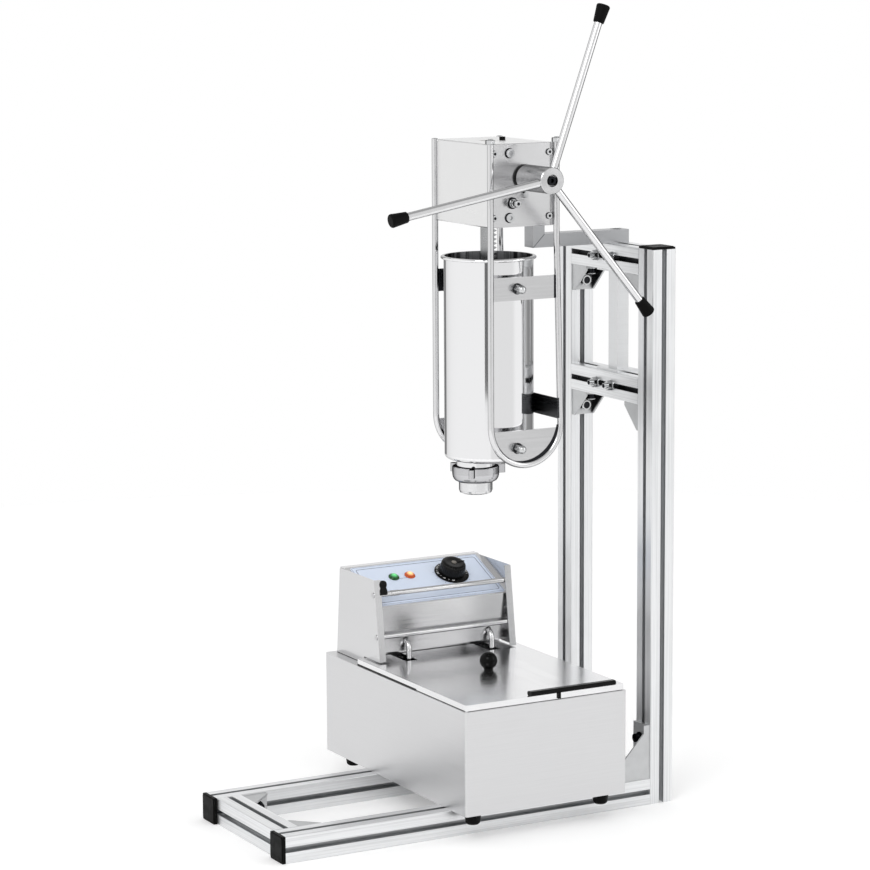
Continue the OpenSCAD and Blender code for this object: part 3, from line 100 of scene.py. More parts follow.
def put(tree, kind, inputs=None, **settings):
    """Adds a shader node. settings are its properties and inputs its sockets: a socket given there is
    linked, any other value is set."""
    n = tree.nodes.new("ShaderNode" + kind)
    for key, value in settings.items():
        setattr(n, key, value)
    for key, value in (inputs or {}).items():
        if isinstance(value, bpy.types.NodeSocket):
            tree.links.new(value, n.inputs[key])
        else:
            n.inputs[key].default_value = value
    return n


def calc(tree, what, *values):
    """The result of a Math node."""
    return put(tree, "Math", dict(enumerate(values)), operation=what).outputs[0]


def fade(tree, value, low, high, to_low=0.0, to_high=1.0):
    """value from low..high to to_low..to_high, smoothly and clamped."""
    return put(tree, "MapRange", {"Value": value, "From Min": low, "From Max": high,
                                  "To Min": to_low, "To Max": to_high},
               interpolation_type="SMOOTHSTEP").outputs["Result"]


def band(tree, value, low, full, still, high):
    """1 between full and still, fading to 0 at low and at high."""
    return calc(tree, "MULTIPLY", fade(tree, value, low, full), fade(tree, value, high, still))


def blend_colour(tree, share, a, b):
    """Colour a where share is 0 and b where it is 1."""
    n = put(tree, "Mix", {0: share}, data_type="RGBA")
    for socket, value in ((n.inputs[6], a), (n.inputs[7], b)):
        if isinstance(value, bpy.types.NodeSocket):
            tree.links.new(value, socket)
        else:
            socket.default_value = value
    return n.outputs[2]


def grain(tree, at, size, detail=2.0, rough=0.5, stretch=(1, 1, 1)):
    """Noise with features of size metres, drawn out by stretch along x, y and z."""
    drawn_out = put(tree, "Mapping", {"Vector": at, "Scale": [1 / (size * s) for s in stretch]})
    return put(tree, "TexNoise", {"Vector": drawn_out.outputs[0], "Scale": 1.0, "Detail": detail,
                                  "Roughness": rough}).outputs["Fac"]


def start(name, colour, metallic, roughness):
    """A new material: its tree, its shader and the Object coordinates."""
    made = bpy.data.materials.new(name)
    made.use_nodes = True
    tree = made.node_tree
    shader = tree.nodes["Principled BSDF"]
    shader.inputs["Base Color"].default_value = linear(colour)
    shader.inputs["Metallic"].default_value = metallic
    shader.inputs["Roughness"].default_value = roughness
    at = put(tree, "TexCoord").outputs["Object"]
    return made, tree, shader, at


def feed(tree, shader, **sockets):
    """Links sockets to the shader's inputs; _ stands for a space in an input's name."""
    for name, socket in sockets.items():
        tree.links.new(socket, shader.inputs[name.replace("_", " ")])


def bumped(tree, height, depth, strength=1.0):
    """A normal from a height in 0..1 that is depth metres high."""
    return put(tree, "Bump", {"Height": height, "Distance": depth, "Strength": strength}).outputs[0]


# ---------------------------------------------------------------------------
# Materials
# ---------------------------------------------------------------------------
NOISE = (0.3, 0.7)              # nearly all of a noise's values lie in here
SLOT_EDGE, SLOT_DEEP = 0.5 * MM, 1.6 * MM   # inside a profile's faces: the painted slot shade begins, and is full
DIE_LINE = 160.0                # how far die lines are drawn out along a profile


def anodised_profile(name, along, axes, slot):
    """Extruded aluminium, etched and anodised: pale, matt, with faint die lines along its length.

    Points from SLOT_EDGE to SLOT_DEEP inside the outer faces take the colour slot, which is painted shade in
    the slots.
    axes are the profile's centre lines, as coordinates on the two axes across it.
    """
    made, tree, shader, at = start(name, "#E4E5E6", 1.0, 0.36)
    sep = put(tree, "SeparateXYZ", {0: at}).outputs
    first, second = (sep[i] for i in range(3) if i != along)
    depth = None
    for axis in axes:
        u = calc(tree, "ABSOLUTE", calc(tree, "SUBTRACT", first, axis[0]))
        v = calc(tree, "ABSOLUTE", calc(tree, "SUBTRACT", second, axis[1]))
        far = calc(tree, "MAXIMUM", u, v)
        depth = far if depth is None else calc(tree, "MINIMUM", depth, far)
    # painted shade in the slots, which are also made rougher
    inside = fade(tree, depth, HALF - SLOT_DEEP, HALF - SLOT_EDGE, 1.0, 0.0)
    long = [1.0, 1.0, 1.0]
    long[along] = DIE_LINE
    lines = grain(tree, at, 1.3 * MM, 2.0, 0.6, long)
    cloud = grain(tree, at, 45 * MM, 3.0)
    skin = blend_colour(tree, fade(tree, lines, 0.35, 0.7), linear("#EAEBEC"), linear("#D9DADB"))
    feed(tree, shader,
         Base_Color=blend_colour(tree, inside, skin, linear(slot)),
         Roughness=calc(tree, "ADD", fade(tree, cloud, *NOISE, 0.30, 0.40),
                        calc(tree, "MULTIPLY", inside, 0.15)),
         Normal=bumped(tree, lines, 0.05 * MM, 0.35))
    return made


def brushed_sheet(name, colour, rough, contrast=0.025, streak=1.4 * MM, length=60.0, painted_reflection_bands=0.0):
    """Stainless sheet with a ground finish: grey, satin, with streaks that run level on upright faces
    and along x on level ones. The last argument, where given, is the width of darker, rougher streaks along y
    that are painted reflections."""
    made, tree, shader, at = start(name, colour, 1.0, rough)
    level = grain(tree, at, streak, 3.0, 0.65, (length, length, 1))
    flat = grain(tree, at, streak, 3.0, 0.65, (length, 1, length))
    normal = put(tree, "NewGeometry").outputs["Normal"]
    up = calc(tree, "ABSOLUTE", put(tree, "SeparateXYZ", {0: normal}).outputs[2])
    on_top = fade(tree, up, 0.55, 0.85)
    streaks = put(tree, "Mix", {0: on_top, 2: level, 3: flat}, data_type="FLOAT").outputs[0]
    cloud = grain(tree, at, 80 * MM, 3.0)
    base = linear(colour)
    dark = toned(base, 1 - 2 * contrast)
    tone = calc(tree, "ADD", calc(tree, "MULTIPLY", streaks, 0.75), calc(tree, "MULTIPLY", cloud, 0.25))
    # painted reflections: darker, rougher streaks along y
    if painted_reflection_bands:
        wipes_and_painted_bands = grain(tree, at, painted_reflection_bands, 2.0, 0.5, (1, 9, 1))
        tone = calc(tree, "SUBTRACT", tone, fade(tree, wipes_and_painted_bands, 0.4, 0.62, 0.0, 0.28))
        cloud = calc(tree, "ADD", cloud, fade(tree, wipes_and_painted_bands, 0.4, 0.62, 0.0, 0.4))
    feed(tree, shader,
         Base_Color=blend_colour(tree, fade(tree, tone, *NOISE), dark, base),
         Roughness=calc(tree, "ADD", fade(tree, streaks, *NOISE, rough * 0.85, rough * 1.15),
                        fade(tree, cloud, *NOISE, -0.02, 0.03)),
         Normal=bumped(tree, streaks, 0.02 * MM, 0.3))
    return made


def polished(name, colour="#ECECED", rough=0.07, wave=0.12 * MM, rim=0.3, bore=None):
    """Polished stainless: a bright mirror that is never quite true, with faint wipe marks.

    rim is what a grazing reflection keeps. bore is an upright axis's x and y, a radius and a foot: the wall
    within it was left as rolled and is rougher, and its colour is painted shade and reflection in dark and
    pale upright streaks. A piece with a bore has no wipe marks.
    """
    made, tree, shader, at = start(name, colour, 1.0, rough)
    shader.inputs["Specular Tint"].default_value = (rim, rim, rim, 1)
    slow = grain(tree, at, 60 * MM, 1.0)
    base = linear(colour)
    if bore:
        x, y, radius, foot = bore
        level = put(tree, "VectorMath", {0: at, 1: (1, 1, 0)}, operation="MULTIPLY").outputs[0]
        away = put(tree, "VectorMath", {0: level, 1: (x, y, 0)}, operation="DISTANCE").outputs["Value"]
        high = put(tree, "SeparateXYZ", {0: at}).outputs[2]
        inside = calc(tree, "MULTIPLY", fade(tree, away, radius + 0.9 * MM, radius + 0.3 * MM),
                      fade(tree, high, foot, foot + 2 * MM))
        # painted shade and reflection in the bore: dark and pale upright streaks
        drawn = grain(tree, at, 9 * MM, 2.0, 0.6, (1, 1, 40))
        painted_bore_shade = blend_colour(tree, fade(tree, drawn, 0.38, 0.62), linear("#3C3D3F"), linear("#B9BABC"))
        tone, roughness = blend_colour(tree, inside, base, painted_bore_shade), fade(tree, inside, 0, 1, rough, 0.3)
    else:
        wipes_and_painted_bands = grain(tree, at, 9 * MM, 3.0, 0.6, (1, 1, 3))
        tone = blend_colour(tree, fade(tree, wipes_and_painted_bands, *NOISE), base, toned(base, 0.96))
        roughness = fade(tree, wipes_and_painted_bands, 0.35, 0.75, rough * 0.85, rough * 1.3)
    feed(tree, shader, Base_Color=tone, Roughness=roughness, Normal=bumped(tree, slow, wave, 0.3))
    return made


def machined(name, colour, rough, stretch=(1, 1, 1)):
    """Turned or milled steel: even, grey, with fine tool marks, drawn out by stretch, and a trace of oil."""
    made, tree, shader, at = start(name, colour, 1.0, rough)
    shader.inputs["Specular Tint"].default_value = (0.3, 0.3, 0.3, 1)
    marks = grain(tree, at, 0.9 * MM, 3.0, 0.6, stretch)
    oil = grain(tree, at, 22 * MM, 2.0)
    base = linear(colour)
    feed(tree, shader,
         Base_Color=blend_colour(tree, fade(tree, marks, *NOISE), toned(base, 0.88), base),
         Roughness=calc(tree, "ADD", fade(tree, marks, *NOISE, rough - 0.03, rough + 0.04),
                        fade(tree, oil, 0.4, 0.7, 0.02, -0.02)),
         Normal=bumped(tree, marks, 0.02 * MM, 0.3))
    return made


def moulded(name, colour, rough, size=0.7 * MM, depth=0.06 * MM, shine=0.5):
    """Moulded plastic or rubber: dark and even, with a fine grain from the mould and rubbed patches."""
    made, tree, shader, at = start(name, colour, 0.0, rough)
    shader.inputs["Specular IOR Level"].default_value = shine
    skin = grain(tree, at, size, 3.0, 0.6)
    rub = grain(tree, at, 12 * MM, 3.0)
    base = linear(colour)
    pale = toned(base, 1.3, 0.001)
    feed(tree, shader,
         Base_Color=blend_colour(tree, fade(tree, rub, 0.4, 0.75), base, pale),
         Roughness=fade(tree, rub, 0.35, 0.7, rough - 0.05, rough + 0.08),
         Normal=bumped(tree, skin, depth, 0.5))
    return made


def cast_alloy(name, colour="#B4B5B6", rough=0.42):
    """Die cast aluminium, bead blasted: grey and matt, with a fine pitted skin."""
    made, tree, shader, at = start(name, colour, 1.0, rough)
    pits = grain(tree, at, 0.8 * MM, 3.0, 0.7)
    cloud = grain(tree, at, 18 * MM, 2.0)
    base = linear(colour)
    feed(tree, shader,
         Base_Color=blend_colour(tree, fade(tree, cloud, *NOISE), toned(base, 0.94), base),
         Roughness=fade(tree, pits, *NOISE, rough - 0.06, rough + 0.1),
         Normal=bumped(tree, pits, 0.09 * MM, 0.5))
    return made


def film(name):
    """Printed polyester film, satin: pale blue-grey ink under a clear skin with a faint orange peel."""
    made, tree, shader, at = start(name, "#DCE7F9", 0.0, 0.4)
    cloud = grain(tree, at, 60 * MM, 2.0)
    peel = grain(tree, at, 1.5 * MM, 1.0)
    feed(tree, shader,
         Base_Color=blend_colour(tree, fade(tree, cloud, *NOISE), linear("#DBE6F8"), linear("#DEE8F9")),
         Roughness=fade(tree, cloud, *NOISE, 0.38, 0.42),
         Normal=bumped(tree, peel, 0.02 * MM, 0.4))
    return made


def dress(made, *names):
    """Gives a material to CAD nodes."""
    for name in names:
        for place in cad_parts[name].material_slots:
            place.material = made


def centre(name):
    """The middle of a CAD node's box."""
    low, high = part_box(name)
    return (low + high) / 2


# Painted shade in the profiles' slots: light on the rails and posts, deep on the cross rails
LIGHT_SLOT_SHADE, DEEP_SLOT_SHADE = "#BFC1C3", "#3E3F41"
for name, label, along, slot in (
        ("base_rail_front", "front rail", 0, LIGHT_SLOT_SHADE),
        ("base_rail_rear", "rear rail", 0, LIGHT_SLOT_SHADE),
        ("post_front", "post front", 2, LIGHT_SLOT_SHADE),
        ("post_rear", "post rear", 2, LIGHT_SLOT_SHADE),
        ("cross_rail_top", "cross rail top", 1, DEEP_SLOT_SHADE),
        ("cross_rail_mid", "cross rail mid", 1, DEEP_SLOT_SHADE)):
    middle = centre(name)
    axis = tuple(middle[i] for i in range(3) if i != along)
    dress(anodised_profile("anodised profile, " + label, along, [axis], slot), name)
low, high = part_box("base_cross_rails")
axes = [(x, low.z + HALF) for x in (low.x + HALF, high.x - HALF)]
dress(anodised_profile("anodised profile, cross rails", 1, axes, LIGHT_SLOT_SHADE), "base_cross_rails")

dress(cast_alloy("bead blasted cast alloy", "#C6C7C8"), "corner_brackets", "post_gussets")
dress(moulded("moulded black polyamide", "#080808", 0.5, shine=0.08), "rail_end_caps", "post_end_caps",
      "plunger_collar", "grease_plug", "cable_gland", "guide_pads", "shaft_bushings", "rod_bumper")
dress(moulded("moulded black phenolic", "#040404", 0.2, 1.2 * MM, 0.02 * MM, 0.12), "lid_knob",
      "thermostat_knob", "lid_grip")
dress(moulded("moulded black rubber", "#060606", 0.5, 0.9 * MM, 0.07 * MM, 0.08), "handle_knobs",
      "fryer_feet")
dress(moulded("moulded white nylon", "#E8E6DF", 0.42, 0.8 * MM, 0.03 * MM), "guide_block_upper",
      "guide_block_lower", "piston")
dress(moulded("moulded silicone", "#C9C7C0", 0.5), "piston_seal", "union_gasket")
dress(machined("blackened steel screw", "#26272A", 0.34), "bracket_fasteners", "hub_screw")
bright = polished("bright stainless screw", "#D0D1D2", 0.16, rim=0.0)
dress(bright, "clamp_bolts", "gearbox_fasteners", "rod_nuts", "plate_fasteners", "plunger_pin",
      "stop_pin")
dress(brushed_sheet("ground stainless tube", "#A9AAAC", 0.34), "tube_bracket")
dress(brushed_sheet("ground stainless strut", "#DADBDC", 0.34), "strut")
dress(brushed_sheet("dark ground band", "#525355", 0.3, 0.12, 5 * MM), "back_band")
dress(brushed_sheet("brushed stainless gearbox", "#E6E6E6", 0.33, 0.006), "gearbox_shell",
      "gearbox_rear_plate")
plate_steel = brushed_sheet("brushed stainless face plate", "#D4D4D5", 0.19, 0.012, 1.1 * MM, 90.0)
dress(plate_steel, "gearbox_front_plate")
dress(brushed_sheet("brushed stainless side plates", "#D2D2D3", 0.16), "upper_side_plates",
      "lower_side_plates")
dress(brushed_sheet("brushed stainless fryer", "#D6D6D7", 0.36), "fryer_body")
dress(brushed_sheet("brushed stainless head", "#D4D4D5", 0.2, 0.03), "control_head")
# the lid's darker streaks along y are painted reflections
dress(brushed_sheet("brushed stainless lid, painted reflection bands", "#EBEBEC", 0.17, 0.03, 1.4 * MM, 60.0, 38 * MM), "fryer_lid")
dress(brushed_sheet("deep drawn stainless tank", "#C8C8C9", 0.2), "fryer_tank")
# the cylinder's bore is painted shade and reflection
dress(polished("polished stainless cylinder, painted bore shade", "#EDEDEE", 0.06, rim=0.6,
               bore=(CAN_X, CAN_Y, CAN_INNER_R, CAN_BOTTOM)), "cylinder")
rod_steel = polished("polished stainless rod", "#DEDEDF", 0.12, 0.02 * MM, 0.0)
dress(rod_steel, "u_rod_front", "u_rod_rear", "head_rods", "heating_element")
dress(polished("polished stainless turning", "#E2E2E3", 0.12, 0.02 * MM, 0.0), "nozzle", "handle_spokes")
dress(polished("polished stainless casting", "#C6C6C8", 0.13, 0.1 * MM, 0.0), "union_nut")
dress(machined("turned stainless hub", "#D2D2D3", 0.2, (25, 1, 25)), "hub")
dress(machined("milled steel rack", "#B9BABB", 0.26), "rack")
dress(machined("turned steel shaft", "#A6A7A9", 0.28), "pinion_shaft")
dress(film("printed polyester film"), "control_panel")
dress(moulded("clear lamp plastic", "#2FA866", 0.15, 0.8 * MM, 0.0), "pilot_lamps")


# ---------------------------------------------------------------------------
# Shapes: each gives points and faces, and piece() makes one object of them
# ---------------------------------------------------------------------------
def skin(rings, loop=False):
    """Rings of points joined in their order by quads. Flat faces close the ends, or loop joins them."""
    rings = np.array(list(rings), float)
    n, m = rings.shape[:2]
    index = np.arange(n * m).reshape(n, m)
    a = index if loop else index[:-1]
    b = np.roll(index, -1, 0) if loop else index[1:]
    faces = np.stack([a, np.roll(a, -1, 1), np.roll(b, -1, 1), b], -1).reshape(-1, 4).tolist()
    if not loop:
        faces += [index[0, ::-1].tolist(), index[-1].tolist()]
    return rings.reshape(-1, 3), faces


def across(axis):
    """Two directions square to an axis and to each other."""
    axis = np.array(axis, float) / np.linalg.norm(axis)
    u = np.cross(axis, (0, 0, 1) if abs(axis[2]) < 0.9 else (1, 0, 0))
    u /= np.linalg.norm(u)
    return axis, u, np.cross(axis, u)


def turned(profile, at, axis, hollow=False, sides=48, flutes=0, flute=0.0):
    """A profile of (radius, height) turned about an axis through at. Where hollow, the profile is a closed
    outline. With flutes, the radius shrinks by flute at that many places round the axis, as a cosine."""
    axis, u, v = across(axis)
    a = np.linspace(0, 2 * np.pi, sides, endpoint=False)
    p = np.array(profile, float)
    r = p[:, 0, None] * (1 - (flute * (1 - np.cos(flutes * a)) / 2 if flutes else 0 * a))
    around = np.cos(a)[:, None] * u + np.sin(a)[:, None] * v
    return skin(np.array(at) + p[:, 1, None, None] * axis + r[:, :, None] * around, hollow)


def ring(inner, outer, low, high, at, axis, edge=0.2 * MM, sides=48):
    """A washer: a rectangle from inner to outer and low to high with its outer corners cut, turned."""
    return turned([(inner, low), (outer - edge, low), (outer, low + edge), (outer, high - edge),
                   (outer - edge, high), (inner, high)], at, axis, True, sides)


def button(radius, height, at, axis, dome=0.0, edge=0.4 * MM, sides=48):
    """A short bar with a cut edge, or with a crown that rises by dome as a cosine."""
    steps = np.linspace(0, np.pi / 2, 8)[:-1]
    crown = [(radius * math.cos(s), height + dome * math.sin(s)) for s in steps] if dome else \
            [(radius, height - edge), (radius - edge, height)]
    return turned([(radius, 0.0)] + crown, at, axis, False, sides)


def rod_along(path, radius, flat=(0, 1, 0), sides=24):
    """A round rod along a path that lies square to flat: circles across the path's tangent."""
    path, flat = np.array(path, float), np.array(flat, float)
    t = np.gradient(path, axis=0)
    n = np.cross(t / np.linalg.norm(t, axis=1)[:, None], flat)
    a = np.linspace(0, 2 * np.pi, sides, endpoint=False)
    return skin(path[:, None] + radius * (np.cos(a)[:, None] * n[:, None] + np.sin(a)[:, None] * flat))


def round_rect(width, height, radius, steps=7):
    """A rectangle about the origin whose corners are quarter circles."""
    a = np.linspace(0, np.pi / 2, steps)
    corners = [np.stack([sx * (width / 2 - radius) + radius * np.cos(a + turn),
                         sy * (height / 2 - radius) + radius * np.sin(a + turn)], 1)
               for sx, sy, turn in ((1, 1, 0), (-1, 1, np.pi / 2), (-1, -1, np.pi), (1, -1, 1.5 * np.pi))]
    return np.concatenate(corners)


def polygon(radius, sides, turn=0.0):
    """A regular polygon, turn degrees round."""
    a = np.radians(turn) + np.linspace(0, 2 * np.pi, sides, endpoint=False)
    return radius * np.stack([np.cos(a), np.sin(a)], 1)


def outward(outline):
    """The outward normal at each point of an outline that runs anticlockwise."""
    t = np.roll(outline, -1, 0) - np.roll(outline, 1, 0)
    t /= np.linalg.norm(t, axis=1)[:, None]
    return np.stack([t[:, 1], -t[:, 0]], 1)


def plate(outline, at, u, v, thick, edge=0.0):
    """An outline in the plane of u and v, thick along their cross product, its rims drawn in by edge."""
    outline, at, u, v = (np.array(x, float) for x in (outline, at, u, v))
    w = np.cross(u, v)
    inner = outline - edge * outward(outline)
    layers = [(inner, 0), (outline, edge), (outline, thick - edge), (inner, thick)] if edge else \
             [(outline, 0), (outline, thick)]
    return skin([at + o[:, :1] * u + o[:, 1:] * v + h * w for o, h in layers])


def line_along(outline, width, at, u, v, thick):
    """A thin line, width wide, that follows a closed outline in the plane of u and v."""
    outline, at, u, v = (np.array(x, float) for x in (outline, at, u, v))
    w = np.cross(u, v)
    inner = outline - width * outward(outline)
    corners = [(outline, 0), (outline, thick), (inner, thick), (inner, 0)]
    return skin(np.stack([at + o[:, :1] * u + o[:, 1:] * v + h * w for o, h in corners], 1), True)


def bar(low, high, edge=0.0):
    """A flat bar between two corners, its edges cut all round."""
    low, high = np.array(low, float), np.array(high, float)
    size = high - low
    outline = round_rect(size[0], size[1], max(edge, 0.02 * MM), 2)
    at = ((low[0] + high[0]) / 2, (low[1] + high[1]) / 2, low[2])
    return plate(outline, at, (1, 0, 0), (0, 1, 0), size[2], edge)


def figure(text, size, at, u, v, thick=0.1 * MM):
    """Plain figures as flat raised print, centred at a point in the plane of u and v."""
    curve = bpy.data.curves.new(text, "FONT")
    curve.body, curve.size, curve.extrude = text, size, thick / 2
    curve.align_x, curve.align_y, curve.resolution_u = "CENTER", "CENTER", 3
    holder = bpy.data.objects.new(text, curve)
    mesh = bpy.data.meshes.new_from_object(holder)
    flat = np.empty(3 * len(mesh.vertices))
    mesh.vertices.foreach_get("co", flat)
    flat = flat.reshape(-1, 3)
    faces = [list(f.vertices) for f in mesh.polygons]
    bpy.data.objects.remove(holder)
    bpy.data.curves.remove(curve)
    bpy.data.meshes.remove(mesh)
    return np.array(at) + flat @ np.array([u, v, np.cross(u, v)]), faces


def piece(name, forms, made, body="machine", replaces=(), sharp=32):
    """One object of several forms. It rides on body and takes its finish from slot."""
    points, faces, count = [], [], 0
    for form_points, form_faces in forms:
        points.append(form_points)
        faces += [np.add(f, count).tolist() for f in form_faces]
        count += len(form_points)
    mesh = bpy.data.meshes.new(name)
    mesh.from_pydata(np.concatenate(points).tolist(), [], faces)
    work = bmesh.new()
    work.from_mesh(mesh)
    bmesh.ops.remove_doubles(work, verts=work.verts, dist=1e-7)
    bmesh.ops.recalc_face_normals(work, faces=work.faces)
    work.to_mesh(mesh)
    work.free()
    mesh.materials.append(made)
    mesh.shade_smooth()
    mesh.set_sharp_from_angle(angle=math.radians(sharp))
    o = bpy.data.objects.new(name, mesh)
    bpy.context.scene.collection.objects.link(o)
    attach(o, body)
    if replaces:
        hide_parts(*replaces)


# ---------------------------------------------------------------------------
# Frame rods, their nuts, and the gearbox's face plates
# ---------------------------------------------------------------------------
X, Y, Z = (1, 0, 0), (0, 1, 0), (0, 0, 1)
FRONT, LEFT = (0, -1, 0), (-1, 0, 0)
ROD_GAP = 0.1 * MM              # between the rods and the face plates
ROD_OUT = 0.4 * MM              # the rods' ends above the gearbox
NUT_R, NUT_H, STUD_R = 7.4 * MM, 6.6 * MM, 3.4 * MM
box_low, box_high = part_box("gearbox_shell")
plate_low, plate_high = box_low.y - FACE_PLATE, box_high.y + FACE_PLATE
front_y, rear_y = plate_low - ROD_R - ROD_GAP, plate_high + ROD_R + ROD_GAP     # the rods' planes
rod_left, rod_right = box_low.x, box_high.x + 1 * MM                            # their legs


def frame_rod(y):
    """A rod bent to a U: straight down, half a circle, and a leg that leans to the gearbox and then rises."""
    middle = rod_left + BEND_R
    rise, reach = box_low.z - BEND_Z, rod_right - middle
    leg = math.sqrt(rise ** 2 + reach ** 2 - BEND_R ** 2)
    lean = math.atan2(rise, reach) - math.atan2(leg, BEND_R)
    top = box_high.z + ROD_OUT
    a = np.linspace(np.pi, 2 * np.pi + lean, 48)
    down = [(rod_left, z) for z in np.linspace(top, BEND_Z, 24)[:-1]]
    bend = np.stack([middle + BEND_R * np.cos(a), BEND_Z + BEND_R * np.sin(a)], 1).tolist()
    foot_x, foot_z = bend[-1]
    up = [(foot_x - s * math.sin(lean), foot_z + s * math.cos(lean)) for s in np.linspace(0, leg, 20)[1:]]
    rest = [(rod_right, z) for z in np.linspace(box_low.z, top, 8)[1:]]
    path = np.array(down + bend + up + rest)
    return rod_along(np.stack([path[:, 0], 0 * path[:, 0] + y, path[:, 1]], 1), ROD_R)


for side, y in (("front", front_y), ("rear", rear_y)):
    piece("bent_rod_" + side, [frame_rod(y)], rod_steel, replaces=("u_rod_" + side,))

forms = []
for x in (rod_left, rod_right):
    forms.append(plate(polygon(NUT_R, 6, 12), (x, front_y, box_high.z), X, Y, NUT_H, 0.7 * MM))
    forms.append(button(STUD_R, 8 * MM, (x, front_y, box_high.z), Z))
    forms.append(button(STUD_R, 0.9 * MM, (x, rear_y, box_high.z), Z))
piece("rod_end_nuts", forms, bright, replaces=("rod_nuts",))

face_outline = round_rect(box_high.x - box_low.x, box_high.z - box_low.z, 3 * MM)
face_x, face_z = (box_low.x + box_high.x) / 2, (box_low.z + box_high.z) / 2
for side, y in (("front", box_low.y), ("rear", plate_high)):
    piece("face_plate_" + side, [plate(face_outline, (face_x, y, face_z), X, Z, FACE_PLATE, 0.5 * MM)],
          plate_steel, replaces=("gearbox_%s_plate" % side,))

# ---------------------------------------------------------------------------
# Dark rings at the fasteners' feet, painted shade that draws their outlines, and black hexagons, painted
# shade in the corner screws' sockets
# ---------------------------------------------------------------------------
SCREW_R, SCREW_H, SCREW_RIM = 4.5 * MM, 3 * MM, 0.5 * MM    # the face plates' corner screws
BOLT_R, BOLT_RIM = 6.5 * MM, 1 * MM             # the guide blocks' bolts
BOLT_X, BOLT_Z = 34.5 * MM, 13.7 * MM           # from the gearbox's left side, and from its ends
RIM_IN, RIM_H = 0.6 * MM, 0.8 * MM
SOCKET_SHARE = 0.42             # of the screw's radius
SIDE_FACE = 1.5 * MM            # from the rods' planes to the side plates' outer faces
# black for the black screws and bolt ends, and for painted shade: outlines, grooves, holes and strips
black_steel_and_painted_shade = machined("blackened steel and painted shade", "#2B2C2F", 0.34)
screws = [(x, z) for x in (box_low.x + 9 * MM, box_high.x - 9 * MM)
          for z in (box_low.z + 14 * MM, box_high.z - 14 * MM)]
bolts = [(box_low.x + BOLT_X, z) for z in (box_low.z + BOLT_Z, box_high.z - BOLT_Z)]
forms, sockets = [], []
# dark rings at the screws' and bolts' feet: painted shade that draws their outlines
for places, r, rim in ((screws, SCREW_R, SCREW_RIM), (bolts, BOLT_R, BOLT_RIM)):
    for x, z in places:
        for y, way in ((plate_low, FRONT), (plate_high, Y)):
            forms.append(ring(r - RIM_IN, r + rim, 0, RIM_H, (x, y, z), way))
# black hexagons on the corner screws: painted shade in their sockets
for x, z in screws:
    for y, way in ((plate_low, FRONT), (plate_high, Y)):
        hexagon = polygon(SCREW_R * SOCKET_SHARE, 6, 20)
        sockets.append(plate(hexagon, (x, y, z), *across(way)[1:], SCREW_H + 0.06 * MM))
piece("screw_shade_rings", forms, black_steel_and_painted_shade)
piece("screw_socket_shade", sockets, black_steel_and_painted_shade)

# The side plates' nuts: a thin dark ring at each one's foot, painted shade round the nut, and the lock nuts'
# dark inserts
forms = []
for z in (PLATE_BOLT_Z, LOW_BOLT_Z):
    for y, way in ((front_y - SIDE_FACE, FRONT), (rear_y + SIDE_FACE, Y)):
        # the foot ring: painted shade round the nut
        forms.append(ring(4 * MM, 8.3 * MM, 0, 0.6 * MM, (CAN_X, y, z), way))
        forms.append(ring(5 * MM, 6.9 * MM, 5.4 * MM, 6.3 * MM, (CAN_X, y, z), way))
piece("lock_nut_inserts_and_shade_rings", forms, machined("grey lock nut insert and painted shade", "#4A4B4D", 0.4))

# Painted shade and reflection of the rods on the side plates, as dark strips: a crescent in each rod's bend
# and a strip up each right leg; and a strip of painted shade at the left end of the rear plate
SHADE_TURN = (-112, -3)          # degrees round the bend
SHADE_STEPS = 36
SHADE_HALF, SHADE_EDGE = 1.9 * MM, 0.3 * MM
side_low, side_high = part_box("upper_side_plates")
a = np.radians(np.linspace(*SHADE_TURN, SHADE_STEPS))
around = np.stack([np.cos(a), np.sin(a)], 1)
wide, tight = (BEND_R - ROD_R - 0.1 * MM) * around, (BEND_R - ROD_R - 5 * MM) * around
share = np.sin(np.linspace(0, np.pi * 0.8, SHADE_STEPS))[:, None]
crescent = np.concatenate([wide, (wide + (tight - wide) * share)[::-1]])
shade_strips = []
for y, out in ((front_y, -1), (rear_y, 1)):
    at = (box_low.x + BEND_R, y + out * (SIDE_FACE - 0.05 * MM), BEND_Z)
    shade_strips.append(plate(crescent, at, X, Z, -out * 0.5 * MM))
    shade_strips.append(bar((side_high.x - 3.4 * MM, y - SHADE_HALF, side_low.z),
                     (side_high.x - 0.2 * MM, y + SHADE_HALF, side_high.z), SHADE_EDGE))
shade_strips.append(bar((side_low.x + 0.3 * MM, rear_y - 2.4 * MM, side_low.z + 0.5 * MM),
                 (side_low.x + 13 * MM, rear_y - 1.5 * MM, side_high.z - 0.5 * MM), SHADE_EDGE))
piece("plate_shade_strips", shade_strips, black_steel_and_painted_shade)

# ---------------------------------------------------------------------------
# Index plunger: a stepped steel collar, and a sleeve with a hole in its end; black rings and a black disc are
# painted shade in the grooves and the hole
# ---------------------------------------------------------------------------
PIN_R = 3 * MM
low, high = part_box("plunger_collar")
plunger = ((low.x + high.x) / 2, plate_low, (low.z + high.z) / 2)
steps = ((8.4 * MM, 0, 1.6 * MM), (7.2 * MM, 1.6 * MM, 3.2 * MM), (6.4 * MM, 3.2 * MM, 5 * MM))
piece("plunger_collar_steel", [ring(PIN_R, r, foot, top, plunger, FRONT, 0.3 * MM) for r, foot, top in steps],
      bright, replaces=("plunger_collar",))
